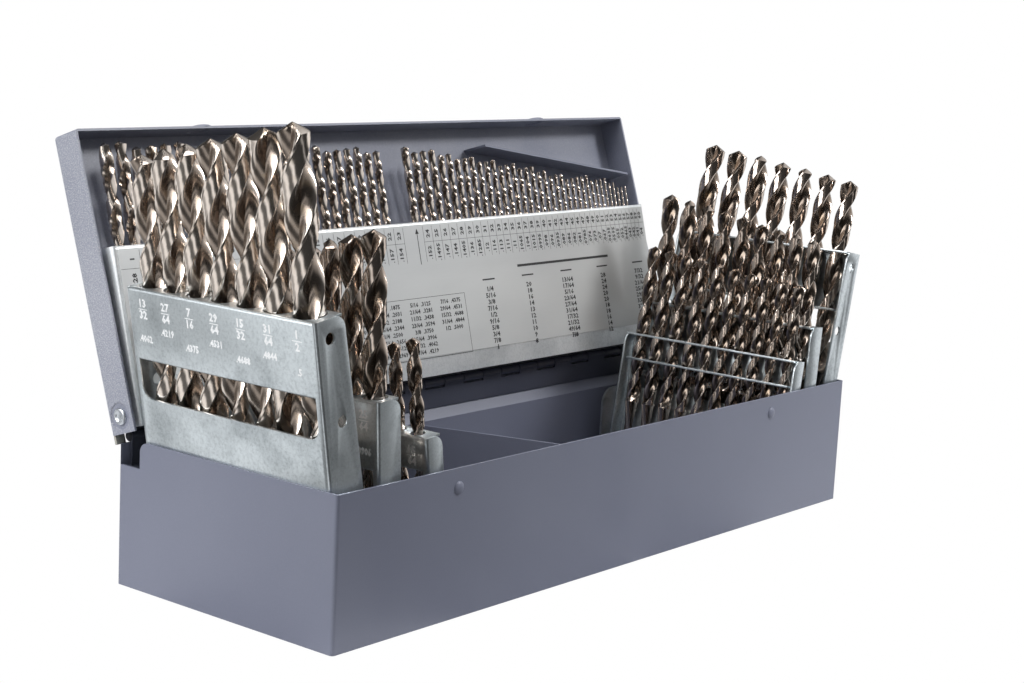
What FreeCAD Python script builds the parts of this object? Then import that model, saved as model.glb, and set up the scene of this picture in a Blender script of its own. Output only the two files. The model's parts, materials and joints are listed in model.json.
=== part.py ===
import FreeCAD, Part
import math
import os
import re
import Sketcher
from FreeCAD import Placement, Rotation, Vector

# Folding steel drill index: a folded sheet case with a lid on a piano hinge, three drill leaves at
# each end of the case, and one long wire-gauge leaf on rivets inside the lid.
# Millimetres. The origin is the middle of the case's underside. X runs along the case, Y from its
# front to its back, Z up. The lid stands open, and all the leaves stand up.

INCH = 25.4

# Every driving size: alias, value in millimetres or degrees, meaning.
SIZES = [
    ("case_length", 360.0, "outside length of the base box"),
    ("case_depth", 121.0, "outside depth of the base box, front to back"),
    ("case_height", 60.5, "outside height of the base box"),
    ("sheet", 1.0, "thickness of the box and lid sheet"),
    ("bend", 1.5, "outside radius of the folds of the box and the lid"),
    ("notch_depth", 12.6, "notch in the rear top corner of each side wall, along Y"),
    ("notch_height", 11.0, "the same notch, down from the rim"),
    ("notch_round", 4.0, "round corner where the rim turns down into the notch"),
    ("detent_reach", 113.0, "distance of each detent from the middle of the case"),
    ("detent_width", 5.0, "diameter of the small detent bumps on the front wall"),
    ("detent_rise", 1.0, "how far the small detent bumps stand out"),
    ("socket_width", 11.0, "diameter of the lid's bumps, which take the small ones"),
    ("socket_rise", 1.4, "how far the lid's bumps stand out"),
    ("barrel_radius", 2.2, "outside radius of the hinge knuckles"),
    ("hinge_sheet", 1.0, "thickness of both hinge leaves"),
    ("hinge_pin_radius", 1.2, "radius of the hinge pin"),
    ("hinge_play", 0.05, "radial clearance of the pin in the knuckles"),
    ("hinge_drop", 0.5, "hinge axis below the rim of the case"),
    ("knuckle_pitch", 14.0, "length of one knuckle with its gap"),
    ("knuckle_gap", 0.3, "gap between neighbouring knuckles"),
    ("hinge_end_gap", 0.5, "least gap between the hinge's ends and the heels"),
    ("barrel_gap", 0.15, "sheet edges kept this far from the knuckles"),
    ("base_leaf_gap", 0.1, "gap between the base hinge leaf and the liner below it"),
    ("lid_leaf_reach", 12.0, "how far the lid's hinge leaf reaches up the lid"),
    ("lid_open_lean", 18.8, "degrees the open lid leans back from upright"),
    ("lid_side_gap", 1.0, "gap between the lid's side flanges and the case"),
    ("lid_front_gap", 0.5, "gap between the lid's front flange and the closed case"),
    ("lid_rest_gap", 0.2, "gap between the closed lid's face and the rim"),
    ("lid_flange", 12.9, "rim of the lid in front of the hinge axis"),
    ("lid_flange_start", 1.0, "side flanges start this far above the hinge axis"),
    ("heel_gap", 0.02, "gap between the heels and the back wall that stops them, lid open"),
    ("heel_inset", 3.5, "length of each heel, in from the case's end"),
    ("liner_depth", 4.0, "front of the back liner in front of the back wall"),
    ("liner_top_drop", 12.0, "top of the liner below the rim"),
    ("liner_bend_drop", 16.8, "bend of the liner below the rim"),
    ("divider_height", 44.0, "top of the diagonal divider"),
    ("divider_back", -13.0, "X of the divider where it meets the liner"),
    ("divider_front", 23.0, "X of the divider where it meets the front wall"),
    ("divider_foot", 9.0, "width of the divider's foot"),
    ("bracket_sheet", 1.2, "thickness of the two leaf brackets"),
    ("bracket_height", 46.0, "top of the leaf brackets' end plates"),
    ("bracket_margin", 10.8, "bracket beyond the innermost pivot"),
    ("bracket_round", 8.0, "round inner top corner of the end plates"),
    ("wall_gap", 0.4, "bracket's gap to the side wall"),
    ("leaf_sheet", 1.0, "thickness of the drill leaves"),
    ("leaf_bend", 1.4, "outside radius of the leaves' folds"),
    ("leaf_end_space", 13.0, "case depth left free beside the drill leaves"),
    ("left_front_gap", 4.0, "left leaves behind the front wall"),
    ("right_front_gap", 1.6, "right leaves behind the front wall"),
    ("leaf_play", 0.2, "gap between a leaf's end and the bracket's end plate"),
    ("leaf_stop_gap", 0.1, "outer leaf's plate off the side wall's top edge"),
    ("ear_drop", 3.6, "ears of a leaf below its pivot"),
    ("ear_reach", 3.4, "ears of a leaf inward of its pivot"),
    ("leaf_round", 5.0, "round free top corner of a leaf's end flange"),
    ("window_margin", 3.0, "window from each end of a leaf"),
    ("window_round", 5.0, "round lower corners of a window"),
    ("shelf_setback", 0.2, "shelves stop this far inside the flange's free edge"),
    ("pivot_radius", 1.3, "radius of the leaf pivots"),
    ("pivot_play", 0.06, "radial clearance of a pivot in its leaf"),
    ("pivot_head_radius", 2.1, "radius of the heads inside the leaves"),
    ("pivot_head", 0.8, "thickness of those heads"),
    ("seat_play", 0.02, "radial clearance of a rivet in the sheet that holds it"),
    ("hole_play", 0.2, "radial clearance of a drill bit in its holes"),
    ("bit_wall_gap", 0.25, "thickest bit of a leaf off the plate"),
    ("lightening_radius", 2.3, "radius of the two holes in an outer leaf's end flange"),
    ("lightening_upper_in", 7.0, "upper of these holes, in from the plate"),
    ("lightening_upper_drop", 7.5, "the same hole below the leaf's top"),
    ("lightening_lower_in", 9.5, "lower of these holes, in from the plate"),
    ("lightening_lower_drop", 39.5, "the same hole below the leaf's top"),
    ("number_rivet_up", 7.9, "wire-gauge leaf's rivets above the hinge axis, along the lid"),
    ("number_rivet_out", 5.5, "the same rivets in front of the hinge axis"),
    ("number_tilt", 4.0, "degrees the wire-gauge leaf tips forward of the lid"),
    ("number_side_gap", 2.6, "wire-gauge leaf's ends off the lid's side flanges"),
    ("number_front", 7.4, "front of the wire-gauge leaf in front of its rivets"),
    ("number_back", 4.4, "back of the wire-gauge leaf behind its rivets"),
    ("number_lip", 4.9, "lower edge of the wire-gauge leaf below its rivets"),
    ("number_height", 66.8, "top of the wire-gauge leaf above its rivets"),
    ("number_shelf_low", 6.3, "shelf under the thickest wire-gauge bit"),
    ("number_shelf_high", 32.4, "shelf under the thinnest wire-gauge bit"),
    ("number_shelf_web", 8.0, "height of the shelf's weld flange"),
    ("number_row_left", 3.0, "row of wire-gauge bits from the leaf's left end"),
    ("number_row_right", 1.6, "row of wire-gauge bits from the leaf's right end"),
    ("centre_drill_space", 13.5, "extra space in the row for the centre drill"),
    ("centre_drill_radius", 2.6, "radius of the empty centre drill hole"),
    ("label_sheet", 0.25, "thickness of the printed size plate"),
    ("label_start", 4.1, "lower edge of the size plate above the rivets"),
    ("label_margin", 1.4, "size plate from the leaf's ends and top"),
    ("dish_radius", 5.8, "radius of the pressed dish round each lid rivet"),
    ("dish_depth", 0.5, "depth of that dish"),
    ("rivet_radius", 2.0, "radius of the lid rivets"),
    ("rivet_head_radius", 3.5, "radius of the lid rivets' ring-shaped heads"),
    ("rivet_head", 1.2, "thickness of the lid rivets' heads"),
    ("rivet_bore", 1.4, "radius of the hollow in the lid rivets' heads"),
    ("rivet_collar", 1.2, "how far the rivets' inner heads stand out round the shank"),
    ("keeper_height", 13.0, "bit keeper's flange, out from the lid's face"),
    ("keeper_start", 64.6, "X where the bit keeper's foot starts"),
    ("keeper_cut", 1.5, "length of the slanted end of the bit keeper"),
    ("keeper_left_drop", 12.9, "bit keeper below the lid's free edge, at its start"),
    ("keeper_right_drop", 31.3, "bit keeper below the lid's free edge, at its end"),
    ("keeper_foot", 9.0, "width of the bit keeper's foot"),
]

# Each drill leaf in its own frame: the pivot axis is the origin's Y line, X runs from the plate to
# the open side and Z up the plate. lean: degrees outward; pivot_step: pivot in from the next outer
# leaf's pivot, 0 for the leaf that leans on the side wall.
LEAVES = {
    "left_outer": dict(lean=9.8, pivot_height=38.0, pivot_step=0.0, inset=5.0, shelf=5.1, height=87.4,
                       foot_width=17.5, top_width=15.0, window_low=42.7, window_high=58.4),
    "left_middle": dict(lean=3.8, pivot_height=20.2, pivot_step=23.5, inset=4.0, shelf=3.8, height=70.6,
                        foot_width=12.1, top_width=12.1, window_low=29.6, window_high=43.6),
    "left_inner": dict(lean=8.0, pivot_height=8.5, pivot_step=31.4, inset=3.4, shelf=5.2, height=65.4,
                       foot_width=9.2, top_width=9.0, window_low=37.4, window_high=51.4),
    "right_outer": dict(lean=11.6, pivot_height=33.0, pivot_step=0.0, inset=5.0, shelf=4.5, height=92.4,
                        foot_width=13.6, top_width=12.7, window_low=47.0, window_high=62.4),
    "right_middle": dict(lean=4.5, pivot_height=20.0, pivot_step=16.9, inset=4.0, shelf=3.6, height=69.3,
                         foot_width=11.0, top_width=11.0, window_low=29.0, window_high=43.0),
    "right_inner": dict(lean=9.0, pivot_height=9.0, pivot_step=19.0, inset=3.5, shelf=3.7, height=65.4,
                        foot_width=9.2, top_width=9.2, window_low=37.9, window_high=51.9),
}
SIDES = {"left": -1, "right": 1}

# Drill bit diameters in inches: 64ths of an inch, letters A to Z, and wire gauges 1 to 60.
FRACTIONS = [numerator / 64 for numerator in range(4, 33)]
LETTERS = [.234, .238, .242, .246, .250, .257, .261, .266, .272, .277, .281, .290, .295,
           .302, .316, .323, .332, .339, .348, .358, .368, .377, .386, .397, .404, .413]
WIRES = [.2280, .2210, .2130, .2090, .2055, .2040, .2010, .1990, .1960, .1935, .1910, .1890,
         .1850, .1820, .1800, .1770, .1730, .1695, .1660, .1610, .1590, .1570, .1540, .1520,
         .1495, .1470, .1440, .1405, .1360, .1285, .1200, .1160, .1130, .1110, .1100, .1065,
         .1040, .1015, .0995, .0980, .0960, .0935, .0890, .0860, .0820, .0810, .0785, .0760,
         .0730, .0700, .0670, .0635, .0595, .0550, .0520, .0465, .0430, .0420, .0410, .0400]
CENTRE_DRILL_AFTER = 23

# Which bits each leaf holds, thickest first, from the leaf's Y = 0 end.
LEAF_BITS = {
    "left_outer": FRACTIONS[:21:-1],
    "left_middle": FRACTIONS[21:11:-1],
    "left_inner": FRACTIONS[11::-1],
    "right_outer": LETTERS[:18:-1],
    "right_middle": LETTERS[18:9:-1],
    "right_inner": LETTERS[9::-1],
}
POINT_ANGLE = 118.0

# Sides of what is round and repeats: leaf bits, wire-gauge bits and all bit holes, pivots and
# knuckles, pressed rounds.
BIT_SIDES = 8
WIRE_SIDES = 6
PIVOT_SIDES = 8
PRESSED_SIDES = 12
X_AXIS, Y_AXIS, Z_AXIS = Vector(1, 0, 0), Vector(0, 1, 0), Vector(0, 0, 1)

document = FreeCAD.newDocument("DrillIndex")


# ---------------------------------------------------------------- sheet of sizes
def make_sheet():
    """Put every driving size into one spreadsheet, each under its alias."""
    sheet = document.addObject("Spreadsheet::Sheet", "Sizes")
    rows = list(SIZES)
    for leaf, sizes in LEAVES.items():
        rows += [(f"{leaf}_{key}", value, "drill leaf") for key, value in sizes.items()]
    for row, (alias, value, meaning) in enumerate(rows, 1):
        sheet.set(f"A{row}", meaning)
        sheet.set(f"B{row}", str(value))
        sheet.setAlias(f"B{row}", alias)
    document.recompute()
    return sheet


sheet = make_sheet()
aliases = {name for name, _, _ in SIZES} | {f"{leaf}_{key}" for leaf in LEAVES for key in LEAVES[leaf]}


def size(alias):
    """Value of a driving size, for shapes and placements worked out in code."""
    return float(sheet.get(alias))


def bound(text):
    """Expression text in which each alias of the sheet reads from the sheet."""
    def full(word):
        return "Sizes." + word.group() if word.group() in aliases else word.group()

    return re.sub(r"[a-z][a-z_]+", full, text)


# ---------------------------------------------------------------- drawing helpers
def new_sketch(body, name, plane, offset):
    """Sketch on one of the body's own origin planes, moved along the plane's normal."""
    sketch = body.newObject("Sketcher::SketchObject", name)
    support = next(item for item in body.Origin.OriginFeatures if item.Role == plane)
    sketch.AttachmentSupport = [(support, "")]
    sketch.MapMode = "FlatFace"
    sketch.setExpression("AttachmentOffset.Base.z", bound(offset))
    return sketch


def pin_point(sketch, geometry, position, across, up):
    """Hold one point of a sketch at two expressions, measured from the sketch's origin."""
    for kind, text in (("DistanceX", across), ("DistanceY", up)):
        value = float(sketch.evalExpression(bound(text)))
        index = sketch.addConstraint(Sketcher.Constraint(kind, -1, 1, geometry, position, value))
        sketch.setExpression(f"Constraints[{index}]", bound(text))


def add_loop(sketch, corners):
    """Closed polygon whose corners are pairs of expressions."""
    points = [Vector(*(float(sketch.evalExpression(bound(text))) for text in corner), 0)
              for corner in corners]
    count, first = len(points), sketch.GeometryCount
    for number in range(count):
        sketch.addGeometry(Part.LineSegment(points[number], points[(number + 1) % count]), False)
    for number in range(count):
        following = first + (number + 1) % count
        sketch.addConstraint(Sketcher.Constraint("Coincident", first + number, 2, following, 1))
        pin_point(sketch, first + number, 1, *corners[number])


def outline(body, name, plane, offset, corners):
    """Sketch that holds one closed polygon."""
    sketch = new_sketch(body, name, plane, offset)
    add_loop(sketch, corners)
    return sketch


def box_outline(body, name, plane, offset, low, high):
    """Rectangle between two corners."""
    corners = [low, (high[0], low[1]), high, (low[0], high[1])]
    return outline(body, name, plane, offset, corners)


def pad(body, sketch, length):
    """Add material along the sketch's normal."""
    feature = body.newObject("PartDesign::Pad", sketch.Name + "Pad")
    feature.Profile = sketch
    feature.setExpression("Length", bound(length))
    sketch.Visibility = False
    return feature


def pocket(body, sketch, depth):
    """Cut against the sketch's normal, and make sure that something was cut."""
    document.recompute()
    before = body.Shape.Volume
    feature = body.newObject("PartDesign::Pocket", sketch.Name + "Pocket")
    feature.Profile = sketch
    feature.setExpression("Length", bound(depth))
    document.recompute()
    if not body.Shape.Volume < before:
        raise RuntimeError(f"{feature.Name} cuts nothing")
    return feature


def soften_edges(body, name, radius, axis, chosen, kind="PartDesign::Fillet"):
    """Fillet or chamfer the straight edges along an axis whose middle passes the test."""
    document.recompute()
    base = body.Tip
    names = []
    for number, edge in enumerate(base.Shape.Edges, 1):
        span = edge.Vertexes[-1].Point - edge.Vertexes[0].Point
        if edge.Length - abs(span.dot(axis)) < 1e-6 and chosen(edge.CenterOfMass):
            names.append(f"Edge{number}")
    if not names:
        raise RuntimeError(f"{name} finds no edge")
    feature = body.newObject(kind, name)
    feature.Base = (base, names)
    feature.setExpression("Radius" if kind == "PartDesign::Fillet" else "Size", bound(radius))
    return feature


def near(value, target):
    """True where two lengths are the same place."""
    return abs(value - target) < 0.01


def new_body(name):
    """Empty body for one folded or machined piece."""
    body = document.addObject("PartDesign::Body", name)
    body.AllowCompound = True
    return body


def shape_feature(name, shapes):
    """Feature that holds loose shapes worked out in code."""
    feature = document.addObject("Part::Feature", name)
    feature.Shape = Part.makeCompound(shapes)
    return feature


def boolean(kind, name, base, tool):
    """Part::Cut or Part::Fuse of two objects."""
    feature = document.addObject(kind, name)
    feature.Base = base
    feature.Tool = tool
    return feature


def turned(profile, start, axis, sides, outside=False):
    """Faceted solid of revolution: profile holds (distance along the axis, radius) pairs.

    The corners lie on the radius, or the flats touch it where outside is true, as on a hole.
    """
    axis = Vector(axis).normalize()
    across = axis.cross(Z_AXIS) if abs(axis.z) < 0.5 else Vector(X_AXIS)
    other = axis.cross(across)
    grow = 1 / math.cos(math.pi / sides) if outside else 1
    angles = [math.pi * (2 * step + 1) / sides for step in range(sides)]
    rings = [[start + axis * along + (across * math.cos(turn) + other * math.sin(turn)) * radius * grow
              for turn in angles] if radius else [start + axis * along] for along, radius in profile]
    outlines = [ring for ring in (rings[0], rings[-1]) if len(ring) > 1]
    for low, high in zip(rings, rings[1:]):
        for step in range(sides):
            left, right = step, (step + 1) % sides
            corners = [low[left % len(low)]]
            corners += [low[right]] if len(low) > 1 else []
            corners += [high[right]] if len(high) > 1 else []
            corners.append(high[left % len(high)])
            outlines.append(corners)
    faces = [Part.Face(Part.makePolygon(corners + corners[:1])) for corners in outlines]
    solid = Part.makeSolid(Part.makeShell(faces))
    return solid if solid.Volume > 0 else solid.reversed()


def drill(radius, depth, start, axis, sides):
    """Tool for a hole whose flats touch the radius."""
    return turned([(0, radius), (depth, radius)], start, axis, sides, outside=True)


CHAMFER = "PartDesign::Chamfer"
parts = []


def keep(feature, label, placement=None):
    """Name a finished sub-part and put it in its place."""
    feature.Label = label
    if placement is not None:
        feature.Placement = placement
    parts.append(feature)


# ---------------------------------------------------------------- shared places
half_length = size("case_length") / 2
half_depth = size("case_depth") / 2
rim = size("case_height")
sheet_size = size("sheet")
hinge_y = half_depth - sheet_size + size("barrel_radius") - size("hinge_sheet")
hinge_z = rim - size("hinge_drop")
lid_place = Placement(Vector(0, hinge_y, hinge_z), Rotation(X_AXIS, -size("lid_open_lean")))
leaf_length = (size("case_depth") - 2 * sheet_size - size("liner_depth") - size("leaf_end_space"))

# The lid is drawn upright in its own frame: hinge axis at the origin, Z up the lid, Y to its back.
# These texts give its faces from the driving sizes.
LID_FACE_IN = "hinge_drop + lid_rest_gap"
LID_FACE_OUT = LID_FACE_IN + " + sheet"
LID_HALF_IN = "case_length / 2 + lid_side_gap"
LID_HALF_OUT = LID_HALF_IN + " + sheet"
LID_TOP_IN = "case_depth - sheet + barrel_radius - hinge_sheet + lid_front_gap"
LID_TOP_OUT = LID_TOP_IN + " + sheet"
NUMBER_HALF = LID_HALF_IN + " - number_side_gap"
lid_face_in = size("hinge_drop") + size("lid_rest_gap")
lid_face_out = lid_face_in + sheet_size
lid_half_in = half_length + size("lid_side_gap")
lid_half_out = lid_half_in + sheet_size
lid_top_in = half_depth + hinge_y + size("lid_front_gap")
lid_top_out = lid_top_in + sheet_size


def leaf_pivot(leaf):
    """X of a drill leaf's pivot: the outer leaf leans on the side wall, the others follow inward."""
    side = SIDES[leaf.split("_")[0]]
    order = [name for name in LEAVES if name.startswith(leaf.split("_")[0])]
    outer = LEAVES[order[0]]
    lean = math.radians(outer["lean"])
    rise = rim - outer["pivot_height"]
    reach = (outer["inset"] + size("leaf_stop_gap") + rise * math.sin(lean)) / math.cos(lean)
    steps = sum(LEAVES[name]["pivot_step"] for name in order[:order.index(leaf) + 1])
    return side * (half_length - sheet_size - reach - steps)


def leaf_front(side_name):
    """Y of the front end of the drill leaves at one end of the case."""
    return -half_depth + sheet_size + size(side_name + "_front_gap")


def leaf_place(leaf):
    """Placement of a drill leaf's own frame."""
    side_name = leaf.split("_")[0]
    lean = LEAVES[leaf]["lean"]
    pivot = Vector(leaf_pivot(leaf), leaf_front(side_name), LEAVES[leaf]["pivot_height"])
    if side_name == "left":
        return Placement(pivot, Rotation(Y_AXIS, -lean))
    pivot.y += leaf_length
    return Placement(pivot, Rotation(Y_AXIS, lean) * Rotation(Z_AXIS, 180))


# ---------------------------------------------------------------- drill bits
def bit_length(inches):
    """Length of a jobber drill bit of a given diameter, both in inches."""
    return min(2 + 8 * inches, 1.25 + 12 * inches)


def drill_bit(inches, foot, sides):
    """One drill bit standing on its shank at a foot point: round body and 118 degree point."""
    radius = inches * INCH / 2
    point = radius / math.tan(math.radians(POINT_ANGLE / 2))
    straight = bit_length(inches) * INCH - point
    return turned([(0, radius), (straight, radius), (straight + point, 0)], foot, Z_AXIS, sides)


def row_places(diameters, start, length, spaces):
    """Middle of each bit in a row, with equal gaps; spaces adds room after some bits."""
    gap = (length - sum(diameters) - sum(spaces.values())) / (len(diameters) + 1)
    if gap <= 0:
        raise RuntimeError("the bits don't fit in their row")
    places = []
    edge = start
    for number, diameter in enumerate(diameters, 1):
        places.append(edge + gap + diameter / 2)
        edge += gap + diameter + spaces.get(number, 0)
    return places


# ---------------------------------------------------------------- case
def pressed_bump(centre, direction, width, rise):
    """Pressed bump on a sheet's outside: its outer form, and the hollow behind it."""
    radius, crown = width / 2, width / 4
    bump = turned([(-sheet_size / 2, radius), (0, radius), (rise, crown)],
                  centre, direction, PRESSED_SIDES)
    hollow = turned([(-sheet_size, radius - sheet_size / 2), (rise - sheet_size, crown - sheet_size / 2)],
                    centre, direction, PRESSED_SIDES)
    return bump, hollow


def make_base_shell():
    """Open box of folded sheet, with the notches for the lid's rivets and two detent bumps."""
    body = new_body("BaseBox")
    low = ("-case_length / 2", "-case_depth / 2")
    high = ("case_length / 2", "case_depth / 2")
    pad(body, box_outline(body, "CaseOutside", "XY_Plane", "0", low, high), "case_height")
    corner = "case_length / 2 - sheet", "case_depth / 2 - sheet"
    inside = box_outline(body, "CaseInside", "XY_Plane", "case_height",
                         tuple(f"-( {text} )" for text in corner), corner)
    pocket(body, inside, "case_height - sheet")
    notch = box_outline(body, "SideNotch", "YZ_Plane", "case_length / 2",
                        ("case_depth / 2 - notch_depth", "case_height - notch_height"),
                        ("case_depth / 2 - sheet", "case_height"))
    pocket(body, notch, "case_length")
    rear = box_outline(body, "BackWallTop", "YZ_Plane", "case_length / 2",
                       ("case_depth / 2 - sheet", "case_height - hinge_drop - barrel_radius - barrel_gap"),
                       ("case_depth / 2", "case_height"))
    pocket(body, rear, "case_length")
    notch_y = half_depth - size("notch_depth")
    soften_edges(body, "NotchCorner", "notch_round", X_AXIS,
                 lambda middle: near(middle.y, notch_y) and near(middle.z, rim))
    soften_edges(body, "CaseCorners", "bend", Z_AXIS,
                 lambda middle: near(abs(middle.x), half_length) and near(abs(middle.y), half_depth))
    document.recompute()
    caps, hollows = [], []
    for side in (-1, 1):
        centre = Vector(side * size("detent_reach"), -half_depth, detent_height())
        cap, hollow = pressed_bump(centre, Vector(0, -1, 0), size("detent_width"), size("detent_rise"))
        caps.append(cap)
        hollows.append(hollow)
    bumped = boolean("Part::Fuse", "BaseBumps", body, shape_feature("DetentCaps", caps))
    keep(boolean("Part::Cut", "BaseShell", bumped, shape_feature("DetentHollows", hollows)), "base_shell")


def detent_height():
    """Height of the detents: the middle of the closed lid's front flange."""
    return hinge_z - socket_out()


def socket_out():
    """Middle of the lid's bumps, in front of the hinge axis."""
    return size("lid_flange") - size("socket_width") / 2


def make_back_liner():
    """Bent strip that fills the back of the case below the hinge."""
    body = new_body("BackLiner")
    wall = "case_depth / 2 - sheet"
    front = wall + " - liner_depth"
    sketch = outline(body, "LinerSection", "YZ_Plane", "-( case_length / 2 - sheet )", [
        (wall, "case_height - liner_top_drop"),
        (front, "case_height - liner_bend_drop"),
        (front, "sheet"),
        (front + " + sheet", "sheet"),
        (front + " + sheet", "case_height - liner_bend_drop - sheet / 2"),
        (wall, "case_height - liner_top_drop - sheet * 3 / 2"),
    ])
    pad(body, sketch, "case_length - 2 * sheet")
    keep(body, "back_liner")


def make_divider():
    """Diagonal sheet between the left and the right leaves, on a foot."""
    body = new_body("Divider")
    front = "-( case_depth / 2 - sheet )"
    back = "case_depth / 2 - sheet - liner_depth"
    for name, width, height in (("DividerWall", "sheet", "divider_height - sheet"),
                                ("DividerFoot", "divider_foot", "sheet")):
        sketch = outline(body, name, "XY_Plane", "sheet", [
            ("divider_front", front),
            (f"divider_front + {width}", front),
            (f"divider_back + {width}", back),
            ("divider_back", back),
        ])
        pad(body, sketch, height)
    keep(body, "centre_divider")


def make_leaf_bracket(side_name):
    """U-shaped bracket on the floor whose end plates carry three leaf pivots each."""
    side = SIDES[side_name]
    leaves = [leaf for leaf in LEAVES if leaf.startswith(side_name)]
    inner = abs(leaf_pivot(leaves[-1])) - size("bracket_margin")
    outer = half_length - sheet_size - size("wall_gap")
    thick = size("bracket_sheet")
    front = leaf_front(side_name) - size("leaf_play") - thick
    back = leaf_front(side_name) + leaf_length + size("leaf_play") + thick
    body = new_body(side_name.title() + "Bracket")
    start = min(side * inner, side * outer)
    floor, top = "sheet", "bracket_height"
    sketch = outline(body, side_name.title() + "BracketSection", "YZ_Plane", str(start), [
        (str(front), floor), (str(back), floor), (str(back), top), (f"{back} - bracket_sheet", top),
        (f"{back} - bracket_sheet", "sheet + bracket_sheet"),
        (f"{front} + bracket_sheet", "sheet + bracket_sheet"), (f"{front} + bracket_sheet", top),
        (str(front), top),
    ])
    pad(body, sketch, str(outer - inner))
    soften_edges(body, side_name.title() + "BracketCorners", "bracket_round", Y_AXIS,
                 lambda middle: near(middle.x, side * inner) and near(middle.z, size("bracket_height")))
    tools, pins = [], []
    shank = size("pivot_radius")
    for leaf in leaves:
        for wall, inward in ((front, 1), (back, -1)):
            place = Vector(leaf_pivot(leaf), wall, LEAVES[leaf]["pivot_height"])
            axis = Vector(0, inward, 0)
            tools.append(drill(shank + size("seat_play"), thick, place, axis, PIVOT_SIDES))
            reach = thick + size("leaf_play") + size("leaf_sheet") + size("leaf_play")
            head = size("pivot_head_radius")
            profile = [(0, shank), (reach, shank), (reach, head), (reach + size("pivot_head"), head)]
            pins.append(turned(profile, place, axis, PIVOT_SIDES))
    document.recompute()
    holes = shape_feature(side_name.title() + "BracketHoles", tools)
    keep(boolean("Part::Cut", side_name.title() + "BracketDrilled", body, holes),
         side_name + "_leaf_bracket")
    keep(shape_feature(side_name.title() + "Pivots", pins), side_name + "_leaf_pivots")


# ---------------------------------------------------------------- hinge
def knuckle_pairs():
    """Whole knuckles on each hinge leaf: as many as fit between the heels."""
    room = size("case_length") - 2 * (size("heel_inset") + size("hinge_end_gap"))
    return math.floor((room / size("knuckle_pitch") - 1) / 2)


HALF_HINGE = f"( knuckle_pitch * ( {knuckle_pairs()} + 1 / 2 ) )"


def ring_sketch(body, name, offset):
    """Section of a knuckle: a ring round the hinge axis, its bore's flats on the bore's radius."""
    sketch = new_sketch(body, name, "YZ_Plane", offset)
    flat = 1 / math.cos(math.pi / PIVOT_SIDES)
    for radius, scale in (("barrel_radius", 1), ("( hinge_pin_radius + hinge_play )", flat)):
        turns = [math.pi * (2 * step + 1) / PIVOT_SIDES for step in range(PIVOT_SIDES)]
        add_loop(sketch, [(f"{radius} * {scale * math.cos(turn):.9f}",
                           f"{radius} * {scale * math.sin(turn):.9f}") for turn in turns])
    return sketch


def make_hinge_leaf(label, place, strip, bridge, first, end_start):
    """One leaf of the piano hinge, axis on X: a strip, every second knuckle and one half knuckle."""
    body = new_body("".join(word.title() for word in label.split("_")))
    name = body.Name
    pad(body, box_outline(body, name + "Strip", "YZ_Plane", "-" + HALF_HINGE, *strip), "2 * " + HALF_HINGE)
    length = "knuckle_pitch - knuckle_gap"
    knuckle = pad(body, ring_sketch(body, name + "Knuckle", first), length)
    joined = pad(body, box_outline(body, name + "Bridge", "YZ_Plane", first, *bridge), length)
    pattern = body.newObject("PartDesign::LinearPattern", name + "Knuckles")
    pattern.Originals = [knuckle, joined]
    axis = next(item for item in body.Origin.OriginFeatures if item.Role == "X_Axis")
    pattern.Direction = (axis, [""])
    pattern.setExpression("Length", bound(f"2 * knuckle_pitch * ( {knuckle_pairs()} - 1 )"))
    pattern.Occurrences = knuckle_pairs()
    body.Tip = pattern
    document.recompute()
    half = "knuckle_pitch / 2 - knuckle_gap"
    pad(body, ring_sketch(body, name + "EndKnuckle", end_start), half)
    pad(body, box_outline(body, name + "EndBridge", "YZ_Plane", end_start, *bridge), half)
    document.recompute()
    keep(body, label, place)


def make_hinge():
    """Both leaves of the piano hinge and its pin."""
    clear = "( barrel_radius + barrel_gap )"
    inside = "-barrel_radius", "-barrel_radius + hinge_sheet"
    make_hinge_leaf(
        "base_hinge_leaf", Placement(Vector(0, hinge_y, hinge_z), Rotation()),
        ((inside[0], "hinge_drop + base_leaf_gap - liner_top_drop"), (inside[1], "-" + clear)),
        ((inside[0], f"-{clear} - hinge_sheet"), (inside[1], "-hinge_pin_radius / 2")),
        f"-{HALF_HINGE} + 3 / 2 * knuckle_pitch", f"-{HALF_HINGE}")
    face = LID_FACE_IN + " - hinge_sheet", LID_FACE_IN
    make_hinge_leaf(
        "lid_hinge_leaf", lid_place,
        ((face[0], clear), (face[1], "lid_leaf_reach")),
        ((face[0], "hinge_pin_radius + hinge_sheet / 2"), (face[1], f"{clear} + hinge_sheet")),
        f"-{HALF_HINGE} + knuckle_pitch / 2", f"{HALF_HINGE} - knuckle_pitch / 2")
    pin = document.addObject("Part::Cylinder", "HingePin")
    pin.setExpression("Radius", bound("hinge_pin_radius"))
    pin.setExpression("Height", bound(f"2 * {HALF_HINGE}"))
    half = float(pin.evalExpression(bound(HALF_HINGE)))
    keep(pin, "hinge_pin", Placement(Vector(-half, hinge_y, hinge_z), Rotation(Y_AXIS, 90)))


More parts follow.
